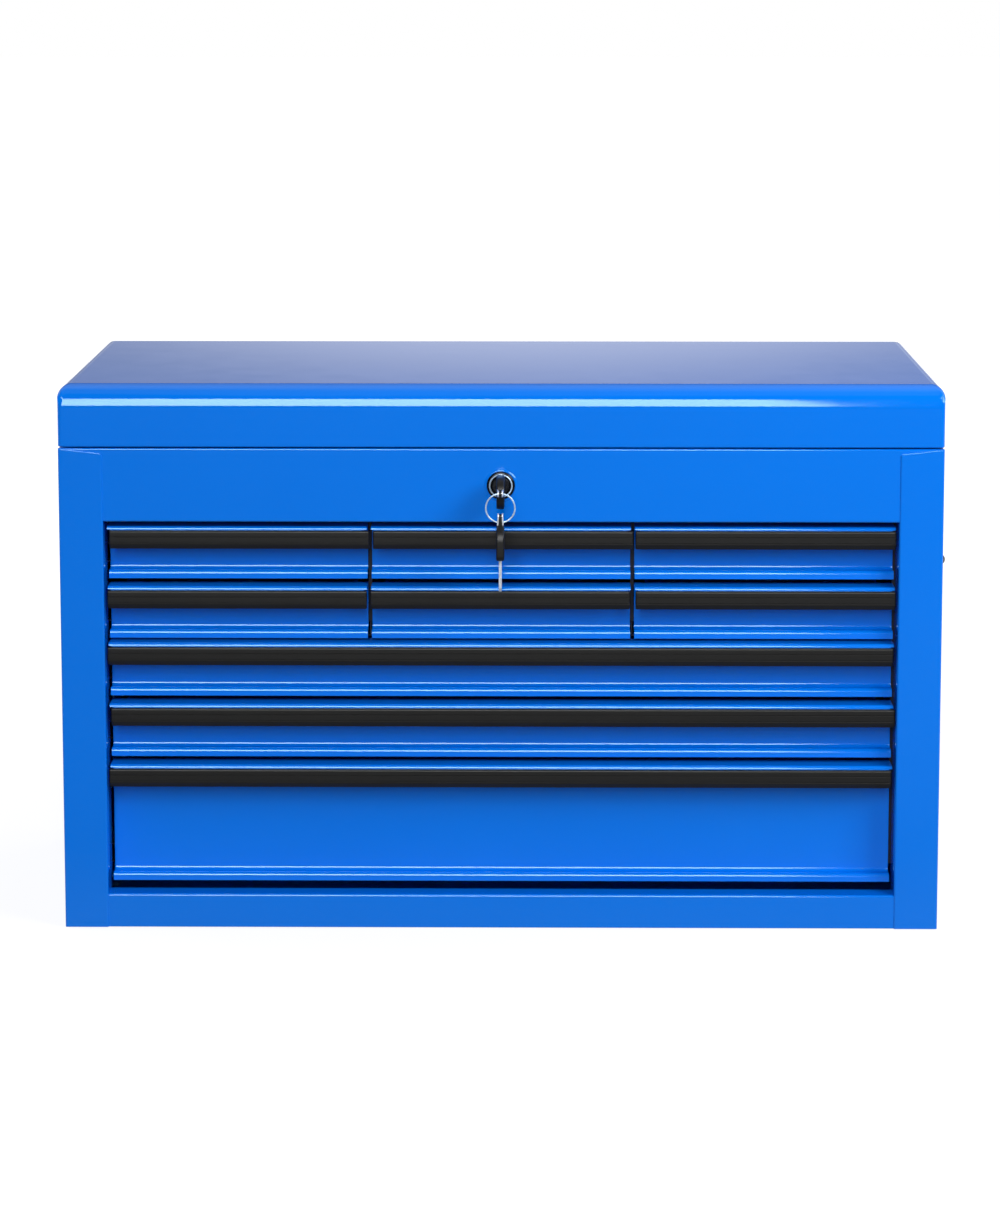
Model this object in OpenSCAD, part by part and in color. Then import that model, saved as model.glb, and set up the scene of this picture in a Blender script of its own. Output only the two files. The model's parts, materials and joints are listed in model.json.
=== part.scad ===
// Portable steel tool box: a lift-up lid over a till, and nine drawers on steel slides.
// Sizes are in millimetres. The origin is the middle of the base, Z is up, and the drawers open along -Y.

/* [Cabinet] */
// Width of the cabinet and lid
body_w = 660; // [600:10:720]
// Depth of the cabinet and lid
body_d = 307; // [280:1:340]
// Height up to the rim under the lid
body_h = 366.5; // [345:0.5:400]
// Thickness of the cabinet's and the lid's sheet
sheet = 1; // [0.8:0.1:1.2]
// Width of the front posts
post_w = 33; // [30:0.5:40]
// Depth of the turned-in edge of each post
post_return = 26; // [22:0.5:28]
// Fall of the post's upper edge towards the opening
post_slope = 3.4; // [2:0.2:6]
// Corner radius of the post's upper edge
post_corner_r = 3; // [1:0.5:6]
// Height of the rail that carries the lock
top_rail_h = 55.5; // [52:0.5:64]
// Height of the rail under the bottom drawer
bottom_rail_h = 25.6; // [20:0.2:30]
// Depth of the rails' ledges at the drawer opening
rail_ledge = 18; // [14:0.5:20]
// Depth of the rim's turned-in edge
rim_lip = 8; // [6:0.5:10]
// Width of the hidden joining flanges
weld_flange = 12; // [8:0.5:16]

/* [Lid] */
// Height of the lid
lid_h = 46; // [40:0.5:56]
// Gap between the lid and the rim
lid_gap = 1; // [0.6:0.1:1.6]
// Rounding along the lid's front upper edge
lid_front_r = 14; // [8:0.5:18]
// Rounding along the lid's other upper edges
lid_side_r = 9; // [5:0.5:12]

/* [Drawer fronts] */
// Thickness of the drawers' sheet
drawer_sheet = 0.8; // [0.7:0.1:1]
// Height of the six small fronts
small_front_h = 41.2; // [38:0.2:44]
// Height of the two wide fronts in the middle
wide_front_h = 42.4; // [38:0.2:46]
// Gap above each front
row_gap = 4.4; // [3:0.1:6]
// Gap between the small fronts and the first wide one
deck_gap = 2; // [1.6:0.1:4]
// Gap under the bottom front
bottom_gap = 6.5; // [4:0.1:9]
// Gap between a front and the post beside it
side_gap = 2; // [1.6:0.1:3]
// Gap between two small fronts side by side
middle_gap = 3; // [2.6:0.1:4]
// Setback of the panel from the posts' face
panel_in = 28; // [26:0.5:30]
// Setback of the lower lip from the posts' face
lip_in = 17; // [14:0.5:20]
// Height of the lower lip
lip_h = 4.5; // [3:0.1:6]
// Rise of the flare between the lip and the panel
flare_rise = 2.7; // [1.5:0.1:4]
// Setback of the shelf's turned-down edge
shelf_in = 6.6; // [6.4:0.1:9]
// Depth of the shelf's turned-down edge
shelf_drop = 12; // [9:0.5:13]

/* [Pulls] */
// Height of the plastic pulls
pull_h = 12.4; // [11:0.2:14]
// Setback of the pulls from the posts' face
pull_in = 4; // [2:0.5:4.2]
// Distance from the shelf's top to the pull's upper edge
pull_down = 2.8; // [2.4:0.1:4]
// Thickness of the pull's inner leg and its bottom
pull_wall = 1.2; // [1:0.1:2]

/* [Trays and slides] */
// Height of the tray's floor above the front's lower edge
tray_up = 7.5; // [6:0.5:9]
// Distance from the shelf's top down to the tray's rim
tray_down = 4; // [3:0.5:6]
// Distance from the tray's rear wall to the back panel
tray_clear = 6.5; // [5:0.5:12]
// Space on each side of a tray for its slide
slide_space = 9; // [8:0.5:10]
// Height of the runner on the tray
runner_h = 12; // [10:0.5:14]
// Thickness of the runners
runner_t = 1; // [0.8:0.1:1.2]
// Height of the slide's middle above the front's lower edge
slide_up = 17; // [16:0.5:18]
// Running gap between runner and rail
slide_gap = 0.35; // [0.3:0.05:0.5]
// Free gap at the tips of the slides' flanges
tip_gap = 0.5; // [0.4:0.1:0.8]

/* [Lock] */
// Radius of the lock's collar
lock_collar_r = 10.5; // [10:0.5:13]
// Radius of the lock's barrel
lock_barrel_r = 9; // [8:0.5:9.5]
// Length of the barrel behind the rail
lock_barrel_l = 21; // [18:0.5:22]
// Radius of the turning plug
plug_r = 6.5; // [6:0.1:7]
// Reach of the cam's finger from the lock's axis
cam_reach = 19.5; // [18:0.5:20.5]
// Radius at which the cam's pin drives the lock bar
cam_pin_at = 5.5; // [5:0.1:5.6]
// Thickness of the cam
cam_t = 2.5; // [2:0.1:3]
// Width of the lock bar's fingers
bar_finger_w = 2.6; // [2:0.1:2.8]
// Thickness of the lock bar
bar_t = 2.5; // [2:0.1:3]
// Height of the strike's foot on the lid
strike_foot_h = 18; // [12:1:20]

/* [Keys] */
// Width of the key's bow
bow_w = 24; // [20:0.5:26]
// Length of the key's bow
bow_l = 26; // [22:0.5:28]
// Thickness of the key's bow
bow_t = 5.8; // [5.4:0.1:7]
// Length of the key's blade
blade_l = 24; // [20:0.5:24.5]
// Distance from the posts' face to the bow of the key in the lock
bow_gap = 8; // [5:0.5:12]
// Radius of the key ring, to the middle of its wire
ring_r = 10.7; // [9:0.1:13]
// Radius of the ring's wire
ring_wire_r = 0.65; // [0.5:0.05:0.8]

/* [Lid struts] */
// Radius of the strut's tube
strut_r = 5; // [4:0.5:6]
// Radius of the strut's rod
strut_rod_r = 2.5; // [2:0.25:3]
// Length of the strut's tube
strut_tube_l = 185; // [165:1:190]
// Distance of the strut's axis from the side wall
strut_in = 16; // [15:0.5:20]
// Distance of the strut's foot behind the posts' face
strut_foot_in = 43.5; // [40:0.5:60]
// Distance of the strut's foot below the rim
strut_foot_down = 26.5; // [20:0.5:30]
// Distance of the strut's head in front of the hinge
strut_head_in = 40; // [35:0.5:60]
// Height of the strut's head above the hinge
strut_head_up = 24; // [20:0.5:28]

/* [Side handles] */
// Height of the handles' pivots
handle_z = 270; // [220:1:300]
// Length between the handle's legs
handle_l = 112; // [100:1:140]
// Drop from the pivots to the grip
handle_drop = 44; // [36:1:60]
// Radius of the handle's wire
handle_wire_r = 3; // [2.5:0.1:3.2]
// Radius of the grip
grip_r = 5.4; // [5:0.1:5.8]
// Distance of the pivots from the side panel
handle_out = 6.5; // [6.4:0.1:8]

/* [Hinge] */
// Length of the lid's hinge
hinge_l = 600; // [500:10:620]
// Number of knuckles, both leaves together
hinge_knuckles = 25; // [15:2:35]
// Radius of the knuckles
knuckle_r = 2.8; // [2.6:0.1:3.5]
// Radius of the hinge's pin
hinge_pin_r = 1.5; // [1.2:0.1:1.7]
// Height of each leaf
leaf_h = 20; // [16:0.5:24]

/* [Hidden] */
$fn = 48;
paint = "RoyalBlue";
steel = "LightSteelBlue";
black = "DimGray";
chrome = "Silver";

// How far a cut reaches past the face that it opens
cut = 1;

// Planes of the cabinet
front = -body_d / 2;
back = body_d / 2;
side_x = body_w / 2;
inner_x = side_x - sheet;
open_x = side_x - post_w;
rail_y = front + sheet;
back_y = back - sheet;
open_top = body_h - top_rail_h;
till_z = open_top + sheet;
lid_z = body_h + lid_gap;

// Rows of drawers, from the top down
ROWS = ["top", "second", "third", "fourth", "bottom"];
COLUMNS = ["left", "middle", "right"];
SMALL_ROWS = 2;
deep_front_h = open_top - bottom_rail_h - bottom_gap - 4 * row_gap - deck_gap
    - 2 * small_front_h - 2 * wide_front_h;
row_heights = [small_front_h, small_front_h, wide_front_h, wide_front_h, deep_front_h];
row_gaps = [row_gap, row_gap, deck_gap, row_gap, row_gap];
function row_top(i) = (i == 0 ? open_top : row_top(i - 1) - row_heights[i - 1]) - row_gaps[i];
function row_base(i) = row_top(i) - row_heights[i];

// Half widths of the fronts, and the middles of the small columns
wide_half = open_x - side_gap;
small_half = (wide_half - middle_gap) / 3;
column_pitch = 2 * small_half + middle_gap;
divider_x = column_pitch / 2;

// Each drawer: name, row, middle, half width, and how far its pull has slid along the lip
small_slip = [[1.9, 1.6, 0.3], [-0.1, -0.6, 0.6]];
wide_slip = [-0.6, 1.4, -0.7];
DRAWERS = concat(
    [for (i = [0:SMALL_ROWS - 1]) for (j = [0:2])
        [str(ROWS[i], "_", COLUMNS[j]), i, (j - 1) * column_pitch, small_half, small_slip[i][j]]],
    [for (i = [SMALL_ROWS:len(ROWS) - 1])
        [ROWS[i], i, 0, wide_half, wide_slip[i - SMALL_ROWS]]]);

// Drawer slides
comb_y = front + panel_in + 3;
slide_y = comb_y + bar_t + 1;
runner_y = slide_y - 0.4;
rail_h = runner_h + 2 * slide_gap + 2 * sheet;
rail_lap_h = 5;
rail_lap = 7;
deck_z = row_top(SMALL_ROWS) + 0.6;
tray_front = front + panel_in + drawer_sheet;
tray_back = back_y - tray_clear;

// Pull
pull_front = front + pull_in;
pull_fit = 0.1;

// Lock
lock_z = (open_top + body_h) / 2;
collar_t = 1.6;
plug_gap = 0.06;
plug_in = 0.4;
cam_y = rail_y + lock_barrel_l + 2;
cam_finger_w = 4;
cam_hub_r = 7.5;
cam_tail_r = 3.5;
cam_pin_r = 1.6;
cam_pin_x = cam_pin_at * sin(45);
cam_pin_past = 0.5;
fork_gap = 0.35;
bar_travel = 2 * cam_pin_x;
bar_h = 4.2;
bar_z = till_z - 0.6 - bar_h;
fork_half_w = 6;
lock_nut_r = 13;
lock_nut_t = 3;
strike_t = 1.5;
strike_y = rail_y + rim_lip + 4;

// Keys
keyway = [2.4, 8.6];
blade = [2.2, 7.8];
keyway_end = front + blade_l - bow_gap + 2;
bow_y = front - bow_gap;
bow_drop = 2;
loop_l = 8.5;
loop_half = 2.6;
loop_h = 6;
loop_wall = 1;
loop_hole_r = ring_wire_r + 0.95;
loop_hole_at = 0.8;
ring_seat = 0.55;
ring_y = bow_y - bow_l - loop_hole_at;
ring_top = lock_z - ring_seat;
ring_low = ring_top - 2 * ring_r;

// Hinge
hinge_y = back + knuckle_r;
hinge_z = body_h + lid_gap / 2;
knuckle_l = hinge_l / hinge_knuckles;
knuckle_end_gap = 0.3;
hinge_bore_gap = 0.06;
leaf_t = 1;
leaf_clear = 0.4;

// Struts, in the plane of the lid's swing: foot on the cabinet, head on the lid
strut_x = inner_x - strut_in;
strut_foot = [front + strut_foot_in, body_h - strut_foot_down];
strut_head = [hinge_y - strut_head_in, hinge_z + strut_head_up];
strut_v = strut_head - strut_foot;
strut_l = norm(strut_v);
strut_angle = atan2(strut_v[1], strut_v[0]);
strut_eye_r = 5.5;
strut_eye_w = 7;
strut_stud_r = 3;
strut_stud_gap = 0.06;
strut_bore_r = strut_r - 1;
strut_piston_l = 6;
strut_piston_gap = 0.1;
strut_rod_in = 14;
stud_base_r = 7;
stud_base_t = 2;
open_pivot_gap = 0.5;

// Handles
bracket_w = 26;
bracket_h = 30;
bracket_t = 1.2;
saddle_w = 14;
saddle_r = handle_wire_r + 1.6;
bail_bend_r = 10;
pivot_gap = 0.06;
bracket_y = handle_l / 2 + 12;

// Rivets
rivet_r = 1.6;
rivet_head_r = 3.2;
rivet_head_h = 1.1;
rivet_tail_h = 0.9;
hinge_rivet_at = leaf_h / 2 + knuckle_r;
hinge_rivets = [for (i = [0:5]) (i - 2.5) * (hinge_l - 2 * knuckle_l) / 5];
bracket_rivets = [for (s = [-1, 1]) for (e = [-1, 1]) [s * bracket_y, handle_z + e * (bracket_h / 2 - 5)]];

// ---------- Shared shapes ----------

// A box between two corners
module span(low, high) {
    translate(low) cube(high - low);
}

// The child as it stands on the right, or its mirror image on the left
module on_side(side) {
    if (side > 0) children();
    else mirror([1, 0, 0]) children();
}

// The child on both sides
module both_sides() {
    on_side(1) children();
    on_side(-1) children();
}

// A rod along X, from x to x + length
module rod_x(x, y, z, r, length) {
    translate([x, y, z]) rotate([0, 90, 0]) cylinder(r = r, h = length);
}

// A rod along Y, from y to y + length
module rod_y(x, y, z, r, length) {
    translate([x, y, z]) rotate([-90, 0, 0]) cylinder(r = r, h = length);
}

// A flat outline drawn across X and Z, with thickness t towards +Y from the plane y
module upright_plate(y, t) {
    translate([0, y + t, 0]) rotate([90, 0, 0]) linear_extrude(t) children();
}

// An outline drawn as [Y, Z], carried along X from x0 to x1
module along_x(x0, x1) {
    translate([x0, 0, 0]) rotate([90, 0, 90]) linear_extrude(x1 - x0) children();
}

// A closed rivet through a wall of thickness t; its head sits on the plane z = 0 and faces up
module rivet(t) {
    rivet_dome_r = (rivet_head_r * rivet_head_r + rivet_head_h * rivet_head_h) / (2 * rivet_head_h);
    intersection() {
        translate([0, 0, rivet_head_h - rivet_dome_r]) sphere(r = rivet_dome_r);
        cylinder(r = rivet_head_r, h = rivet_head_h);
    }
    translate([0, 0, -t]) cylinder(r = rivet_r, h = t);
    translate([0, 0, -t - rivet_tail_h]) cylinder(r = rivet_r + 0.7, h = rivet_tail_h);
}

// ---------- Cabinet ----------

// Face of a post: a tall strip whose upper edge falls towards the opening and turns down in an arc
module post_face() {
    corner = [open_x + post_corner_r, body_h - post_slope - post_corner_r];
    upright_plate(front, sheet) polygon(concat(
        [[open_x, 0], [side_x, 0], [side_x, body_h]],
        [for (a = [90:15:180]) corner + post_corner_r * [cos(a), sin(a)]]));
}

module side_panel(side) {
    color(paint) on_side(side) difference() {
        union() {
            span([inner_x, front, 0], [side_x, back_y, body_h]);
            post_face();
            span([open_x, rail_y, bottom_rail_h], [open_x + sheet, front + post_return, open_top]);
            span([inner_x - weld_flange, back_y - sheet, sheet], [inner_x, back_y, body_h - sheet]);
            span([inner_x - weld_flange, rail_y + weld_flange, sheet],
                 [inner_x, back_y - sheet, 2 * sheet]);
            span([inner_x - rim_lip, rail_y + rim_lip + sheet, body_h - sheet],
                 [inner_x, back_y - rim_lip, body_h]);
        }
        for (p = bracket_rivets) rod_x(inner_x - cut, p[0], p[1], rivet_r, sheet + 2 * cut);
    }
}

module back_panel() {
    color(paint) difference() {
        union() {
            span([-side_x, back_y, 0], [side_x, back, body_h]);
            span([-inner_x, back_y - rim_lip, body_h - sheet], [inner_x, back_y, body_h]);
        }
        for (x = hinge_rivets) rod_y(x, back_y - cut, hinge_z - hinge_rivet_at, rivet_r, sheet + 2 * cut);
    }
}

module bottom_panel() {
    color(paint) span([-inner_x, rail_y + sheet, 0], [inner_x, back_y, sheet]);
}

module top_rail() {
    color(paint) difference() {
        union() {
            span([-inner_x, rail_y, open_top], [inner_x, rail_y + sheet, body_h]);
            span([-inner_x, rail_y, open_top], [inner_x, rail_y + rail_ledge, open_top + sheet]);
            span([-inner_x, rail_y, body_h - sheet], [inner_x, rail_y + rim_lip + sheet, body_h]);
        }
        rod_y(0, rail_y - cut, lock_z, lock_barrel_r, sheet + 2 * cut);
    }
}

module bottom_rail() {
    color(paint) {
        span([-inner_x, rail_y, 0], [inner_x, rail_y + sheet, bottom_rail_h]);
        span([-inner_x, rail_y, bottom_rail_h - sheet], [inner_x, rail_y + rail_ledge, bottom_rail_h]);
        span([-inner_x, rail_y, sheet], [inner_x, rail_y + weld_flange, 2 * sheet]);
    }
}

// A shelf across the cabinet, notched at its rear corners around the side panels' flanges
module shelf_plate(z, y0) {
    difference() {
        span([-inner_x, y0, z], [inner_x, back_y, z + sheet]);
        both_sides() span([inner_x - weld_flange, back_y - sheet, z - cut],
                          [side_x, back, z + sheet + cut]);
    }
}

module till_floor() {
    room = 1.5;
    slot_half = fork_half_w + bar_travel / 2 + room;
    color(paint) difference() {
        shelf_plate(till_z, rail_y + sheet);
        span([-slot_half, comb_y - room, till_z - cut],
             [slot_half, comb_y + bar_t + room, till_z + sheet + cut]);
    }
}

module drawer_deck() {
    color(black) shelf_plate(deck_z, slide_y);
}

module dividers() {
    color(black) both_sides() span([divider_x - sheet / 2, slide_y, deck_z + sheet],
                                   [divider_x + sheet / 2, back_y, till_z]);
}

// The cabinet's half of a slide on the right of a tray: a channel between wall_x, the tray's wall, and
// back_x, what it is welded to, with a stop at the back. A post's rail also laps onto the post's return.
module cabinet_rail(wall_x, back_x, z, at_post) {
    low = z - rail_h / 2;
    high = z + rail_h / 2;
    tip = wall_x + tip_gap;
    span([back_x - sheet, slide_y, low], [back_x, back_y, high]);
    span([tip, slide_y, low], [back_x, back_y, low + sheet]);
    span([tip, slide_y, high - sheet], [back_x, back_y, high]);
    span([tip, back_y - sheet, low], [back_x, back_y, high]);
    if (at_post) span([back_x - sheet, front + post_return - rail_lap, low],
                      [back_x, slide_y, low + rail_lap_h]);
}

module cabinet_rails() {
    color(black) for (d = DRAWERS) {
        wall = d[3] - slide_space;
        z = row_base(d[1]) + slide_up;
        for (side = [-1, 1]) {
            at_post = abs(d[2] + side * d[3]) > column_pitch;
            back_at = at_post ? side_gap + 2 * sheet : (middle_gap - sheet) / 2;
            translate([d[2], 0, 0]) on_side(side) cabinet_rail(wall, d[3] + back_at, z, at_post);
        }
    }
}

// ---------- Drawers ----------

// Section of a front's sheet as [Y, Z] over its lower edge: lip, flare, panel, shelf and turned-down edge
function front_section(h) =
    let (t = drawer_sheet,
         slope = flare_rise / (panel_in - lip_in),
         under = slope * t - t * sqrt(1 + slope * slope),
         bend = 2)
    [[lip_in, 0], [lip_in, lip_h], [panel_in, lip_h + flare_rise], [panel_in, h - t],
     [shelf_in + t, h - t], [shelf_in + t, h - shelf_drop], [shelf_in, h - shelf_drop],
     [shelf_in, h - bend], [shelf_in + bend * 0.3, h - bend * 0.3], [shelf_in + bend, h],
     [panel_in + t, h], [panel_in + t, lip_h + flare_rise + under], [lip_in + t, lip_h + under],
     [lip_in + t, 0]];

module tray(d) {
    h = row_heights[d[1]];
    base = row_base(d[1]);
    half = d[3] - slide_space;
    low = [-half, tray_front, base + tray_up];
    high = [half, tray_back, base + h - tray_down];
    t = drawer_sheet;
    color(paint) translate([d[2], 0, 0]) {
        translate([0, front, base]) along_x(-d[3], d[3]) polygon(front_section(h));
        difference() {
            span(low, high);
            span(low + [t, t, t], high + [-t, -t, 1]);
        }
    }
}

// The runners on both walls of a tray: channels that open outwards, inside the cabinet's rails
module runners(d) {
    wall = d[3] - slide_space;
    tip = d[3] - tip_gap;
    z = row_base(d[1]) + slide_up;
    low = z - runner_h / 2;
    high = z + runner_h / 2;
    color(black) translate([d[2], 0, 0]) both_sides() {
        span([wall, runner_y, low], [wall + runner_t, tray_back, high]);
        span([wall, runner_y, low], [tip, tray_back, low + runner_t]);
        span([wall, runner_y, high - runner_t], [tip, tray_back, high]);
    }
}

// Section of a pull as [Y, Z]: a face with two grooves, clipped around the shelf's turned-down edge
function pull_section() =
    let (face = shelf_in - pull_fit,
         inner = shelf_in + drawer_sheet + pull_fit,
         rear = inner + pull_wall,
         top = -pull_down,
         low = -pull_down - pull_h,
         leg_top = -shelf_drop + 6,
         groove = 0.4)
    concat(
        [[pull_in + 0.6, top], [pull_in, top - 0.8]],
        [for (k = [1, 2]) for (p = [[0, -0.5], [groove, -0.2], [groove, 0.2], [0, 0.5]])
            [pull_in + p[0], top - k * pull_h / 3 - p[1]]],
        [[pull_in, low + 0.8], [pull_in + 0.6, low], [rear, low], [rear, leg_top], [inner, leg_top],
         [inner, -shelf_drop], [face, -shelf_drop], [face, top]]);

module pull(d) {
    color(black) translate([d[2] + d[4], front, row_top(d[1])])
        along_x(-d[3], d[3]) polygon(pull_section());
}

// ---------- Lid ----------

// An outline from low to high, with its base on 0 and its two upper corners rounded
module arch(low, high, top, r_low, r_high) {
    difference() {
        translate([low, 0]) square([high - low, top]);
        translate([low, top]) difference() {
            translate([-cut, -r_low]) square([r_low + cut, r_low + cut]);
            translate([r_low, -r_low]) circle(r = r_low);
        }
        translate([high, top]) difference() {
            translate([-r_high, -r_high]) square([r_high + cut, r_high + cut]);
            translate([-r_high, -r_high]) circle(r = r_high);
        }
    }
}

// The lid's block, smaller by inset on the sides and the top
module lid_block(inset) {
    intersection() {
        along_x(-side_x, side_x)
            arch(front + inset, back - inset, lid_h - inset, lid_front_r - inset, lid_side_r - inset);
        translate([0, back, 0]) rotate([90, 0, 0]) linear_extrude(body_d)
            arch(-side_x + inset, side_x - inset, lid_h - inset, lid_side_r - inset, lid_side_r - inset);
    }
}

module lid_shell() {
    color(paint) difference() {
        translate([0, 0, lid_z]) {
            difference() {
                lid_block(0);
                translate([0, 0, -sheet]) lid_block(sheet);
                lid_block(sheet);
            }
            difference() {
                span([-side_x, front, 0], [side_x, back, sheet]);
                span([-side_x + rim_lip, front + rim_lip, -cut],
                     [side_x - rim_lip, back - rim_lip, sheet + cut]);
            }
        }
        for (x = hinge_rivets) rod_y(x, back_y - cut, hinge_z + hinge_rivet_at, rivet_r, sheet + 2 * cut);
    }
}

// One leaf of the hinge above (up = 1) or below (up = -1) its axis, with every second knuckle
module hinge_leaf(up, bore) {
    near = knuckle_r + leaf_clear;
    color(steel) translate([0, 0, hinge_z]) difference() {
        union() {
            translate([-hinge_l / 2, back, up > 0 ? near : -leaf_h - knuckle_r])
                cube([hinge_l, leaf_t, leaf_h - leaf_clear]);
            for (i = [up > 0 ? 1 : 0:2:hinge_knuckles - 1]) {
                x = -hinge_l / 2 + i * knuckle_l + knuckle_end_gap / 2;
                rod_x(x, hinge_y, 0, knuckle_r, knuckle_l - knuckle_end_gap);
                translate([x, back, up > 0 ? 0 : -near]) cube([knuckle_l - knuckle_end_gap, leaf_t, near]);
            }
        }
        rod_x(-hinge_l / 2 - cut, hinge_y, 0, bore, hinge_l + 2 * cut);
        for (x = hinge_rivets) rod_y(x, back - cut, up * hinge_rivet_at, rivet_r, leaf_t + 2 * cut);
    }
}

module hinge_lower_leaf() {
    hinge_leaf(-1, hinge_pin_r + hinge_bore_gap);
}

module hinge_upper_leaf() {
    hinge_leaf(1, hinge_pin_r);
}

module hinge_pin() {
    color(chrome) rod_x(-hinge_l / 2, hinge_y, hinge_z, hinge_pin_r, hinge_l);
}

// The plate that hangs from the lid's front wall, with the window that the cam's finger enters
module lid_strike() {
    finger_z = lock_z + cam_reach - cam_finger_w / 2;
    catch_h = 3.6;
    below = cam_finger_w / 2 + 1.4;
    above = cam_finger_w / 2 + 2;
    rear = cam_y + cam_t + 3;
    arm_z = lid_z + sheet + 3;
    arm_top = arm_z + strike_foot_h;
    foot_half = 12;
    color(steel) difference() {
        union() {
            span([-strike_t / 2, strike_y, finger_z - below - catch_h], [strike_t / 2, rear, arm_top]);
            span([-strike_t / 2, rail_y, arm_z], [strike_t / 2, rear, arm_top]);
            span([-foot_half, rail_y, arm_z], [foot_half, rail_y + strike_t, arm_top]);
        }
        span([-strike_t, cam_y - 2, finger_z - below], [strike_t, cam_y + cam_t + 1, finger_z + above]);
    }
}

// ---------- Lid struts ----------

// A child that points along +Z, laid along a strut from its foot
module along_strut(side) {
    on_side(side) translate([strut_x, strut_foot[0], strut_foot[1]]) rotate([strut_angle - 90, 0, 0])
        children();
}

// An eye across the strut's end
module strut_eye(at) {
    rod_x(-strut_eye_w / 2, 0, at, strut_eye_r, strut_eye_w);
}

module strut_tube(side) {
    shoulder = 8;
    bore_at = 12;
    end_wall = 3;
    color(black) along_strut(side) difference() {
        union() {
            strut_eye(0);
            cylinder(r = strut_bore_r, h = shoulder + 2);
            translate([0, 0, shoulder]) cylinder(r = strut_r, h = strut_tube_l - shoulder);
        }
        rod_x(-strut_eye_w, 0, 0, strut_stud_r + strut_stud_gap, 2 * strut_eye_w);
        translate([0, 0, bore_at]) cylinder(r = strut_bore_r, h = strut_tube_l - end_wall - bore_at);
        translate([0, 0, bore_at]) cylinder(r = strut_rod_r + strut_stud_gap, h = strut_tube_l);
    }
}

module strut_rod(side) {
    color(chrome) along_strut(side) {
        translate([0, 0, strut_rod_in]) cylinder(r = strut_bore_r - strut_piston_gap, h = strut_piston_l);
        difference() {
            union() {
                translate([0, 0, strut_rod_in]) cylinder(r = strut_rod_r, h = strut_l - strut_rod_in);
                strut_eye(strut_l);
            }
            rod_x(-strut_eye_w, 0, strut_l, strut_stud_r, 2 * strut_eye_w);
        }
    }
}

// ---------- Side handles ----------

module handle_brackets() {
    axis_x = side_x + handle_out;
    color(black) both_sides() for (s = [-1, 1]) difference() {
        union() {
            span([side_x, s * bracket_y - bracket_w / 2, handle_z - bracket_h / 2],
                 [side_x + bracket_t, s * bracket_y + bracket_w / 2, handle_z + bracket_h / 2]);
            span([side_x, s * bracket_y - saddle_w / 2, handle_z - saddle_r],
                 [axis_x, s * bracket_y + saddle_w / 2, handle_z + saddle_r]);
            rod_y(axis_x, s * bracket_y - saddle_w / 2, handle_z, saddle_r, saddle_w);
        }
        rod_y(axis_x, s * bracket_y - bracket_w, handle_z, handle_wire_r + pivot_gap, 2 * bracket_w);
        for (p = bracket_rivets) rod_x(side_x - cut, p[0], p[1], rivet_r, bracket_t + 2 * cut);
    }
}

// The bail: a bent wire whose ends turn outwards into the brackets
module handle_bail(side) {
    r = handle_wire_r;
    half = handle_l / 2 - r;
    leg = handle_drop - bail_bend_r;
    color(chrome) on_side(side) translate([side_x + handle_out, 0, handle_z]) {
        for (s = [0, 1]) mirror([0, s, 0]) {
            rod_y(0, half, 0, r, bracket_y + saddle_w / 2 - half);
            translate([0, half, 0]) sphere(r = r);
            translate([0, half, -leg]) cylinder(r = r, h = leg);
            translate([0, half - bail_bend_r, -leg]) rotate([0, 90, 0])
                rotate_extrude(angle = 90) translate([bail_bend_r, 0]) circle(r = r);
        }
        rod_y(0, -half + bail_bend_r, -handle_drop, r, 2 * (half - bail_bend_r));
    }
}

module handle_grip(side) {
    half = handle_l / 2 - handle_wire_r - bail_bend_r - 2;
    cap_l = 1.5;
    cap_step = 0.6;
    color(black) on_side(side) translate([side_x + handle_out, 0, handle_z - handle_drop]) difference() {
        union() {
            rod_y(0, -half, 0, grip_r, 2 * half);
            rod_y(0, -half - cap_l, 0, grip_r - cap_step, 2 * (half + cap_l));
        }
        rod_y(0, -half - cap_l - cut, 0, handle_wire_r, 2 * (half + cap_l + cut));
    }
}

// ---------- Lock ----------

module lock_barrel() {
    color(chrome) difference() {
        union() {
            rod_y(0, rail_y - collar_t, lock_z, lock_collar_r, collar_t);
            rod_y(0, rail_y - collar_t, lock_z, lock_barrel_r, collar_t + lock_barrel_l);
        }
        rod_y(0, rail_y - collar_t - cut, lock_z, plug_r + plug_gap, collar_t + lock_barrel_l + 2 * cut);
    }
}

module lock_plug() {
    start = rail_y - collar_t + plug_in;
    color(steel) difference() {
        union() {
            rod_y(0, start, lock_z, plug_r, cam_y - start);
            rod_y(0, start, lock_z, cam_tail_r, cam_y + cam_t - start);
        }
        span([-keyway[0] / 2, start - cut, lock_z - keyway[1] / 2],
             [keyway[0] / 2, keyway_end, lock_z + keyway[1] / 2]);
    }
}

// The cam: a spoke with an arc-shaped finger for the lid's strike, and a pin that drives the lock bar
module lock_cam() {
    finger_start = 140;
    finger_end = 200;
    far = 2 * cam_reach;
    color(steel) {
        upright_plate(cam_y, cam_t) translate([0, lock_z]) difference() {
            union() {
                circle(r = cam_hub_r);
                rotate(finger_end) translate([0, -cam_finger_w / 2]) square([cam_reach - 1, cam_finger_w]);
                intersection() {
                    difference() {
                        circle(r = cam_reach);
                        circle(r = cam_reach - cam_finger_w);
                    }
                    polygon([[0, 0], far * [cos(finger_start), sin(finger_start)],
                             far * [cos(finger_end), sin(finger_end)]]);
                }
            }
            circle(r = cam_tail_r);
        }
        rod_y(cam_pin_x, cam_y, lock_z - cam_pin_x, cam_pin_r, comb_y + bar_t + cam_pin_past - cam_y);
    }
}

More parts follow.
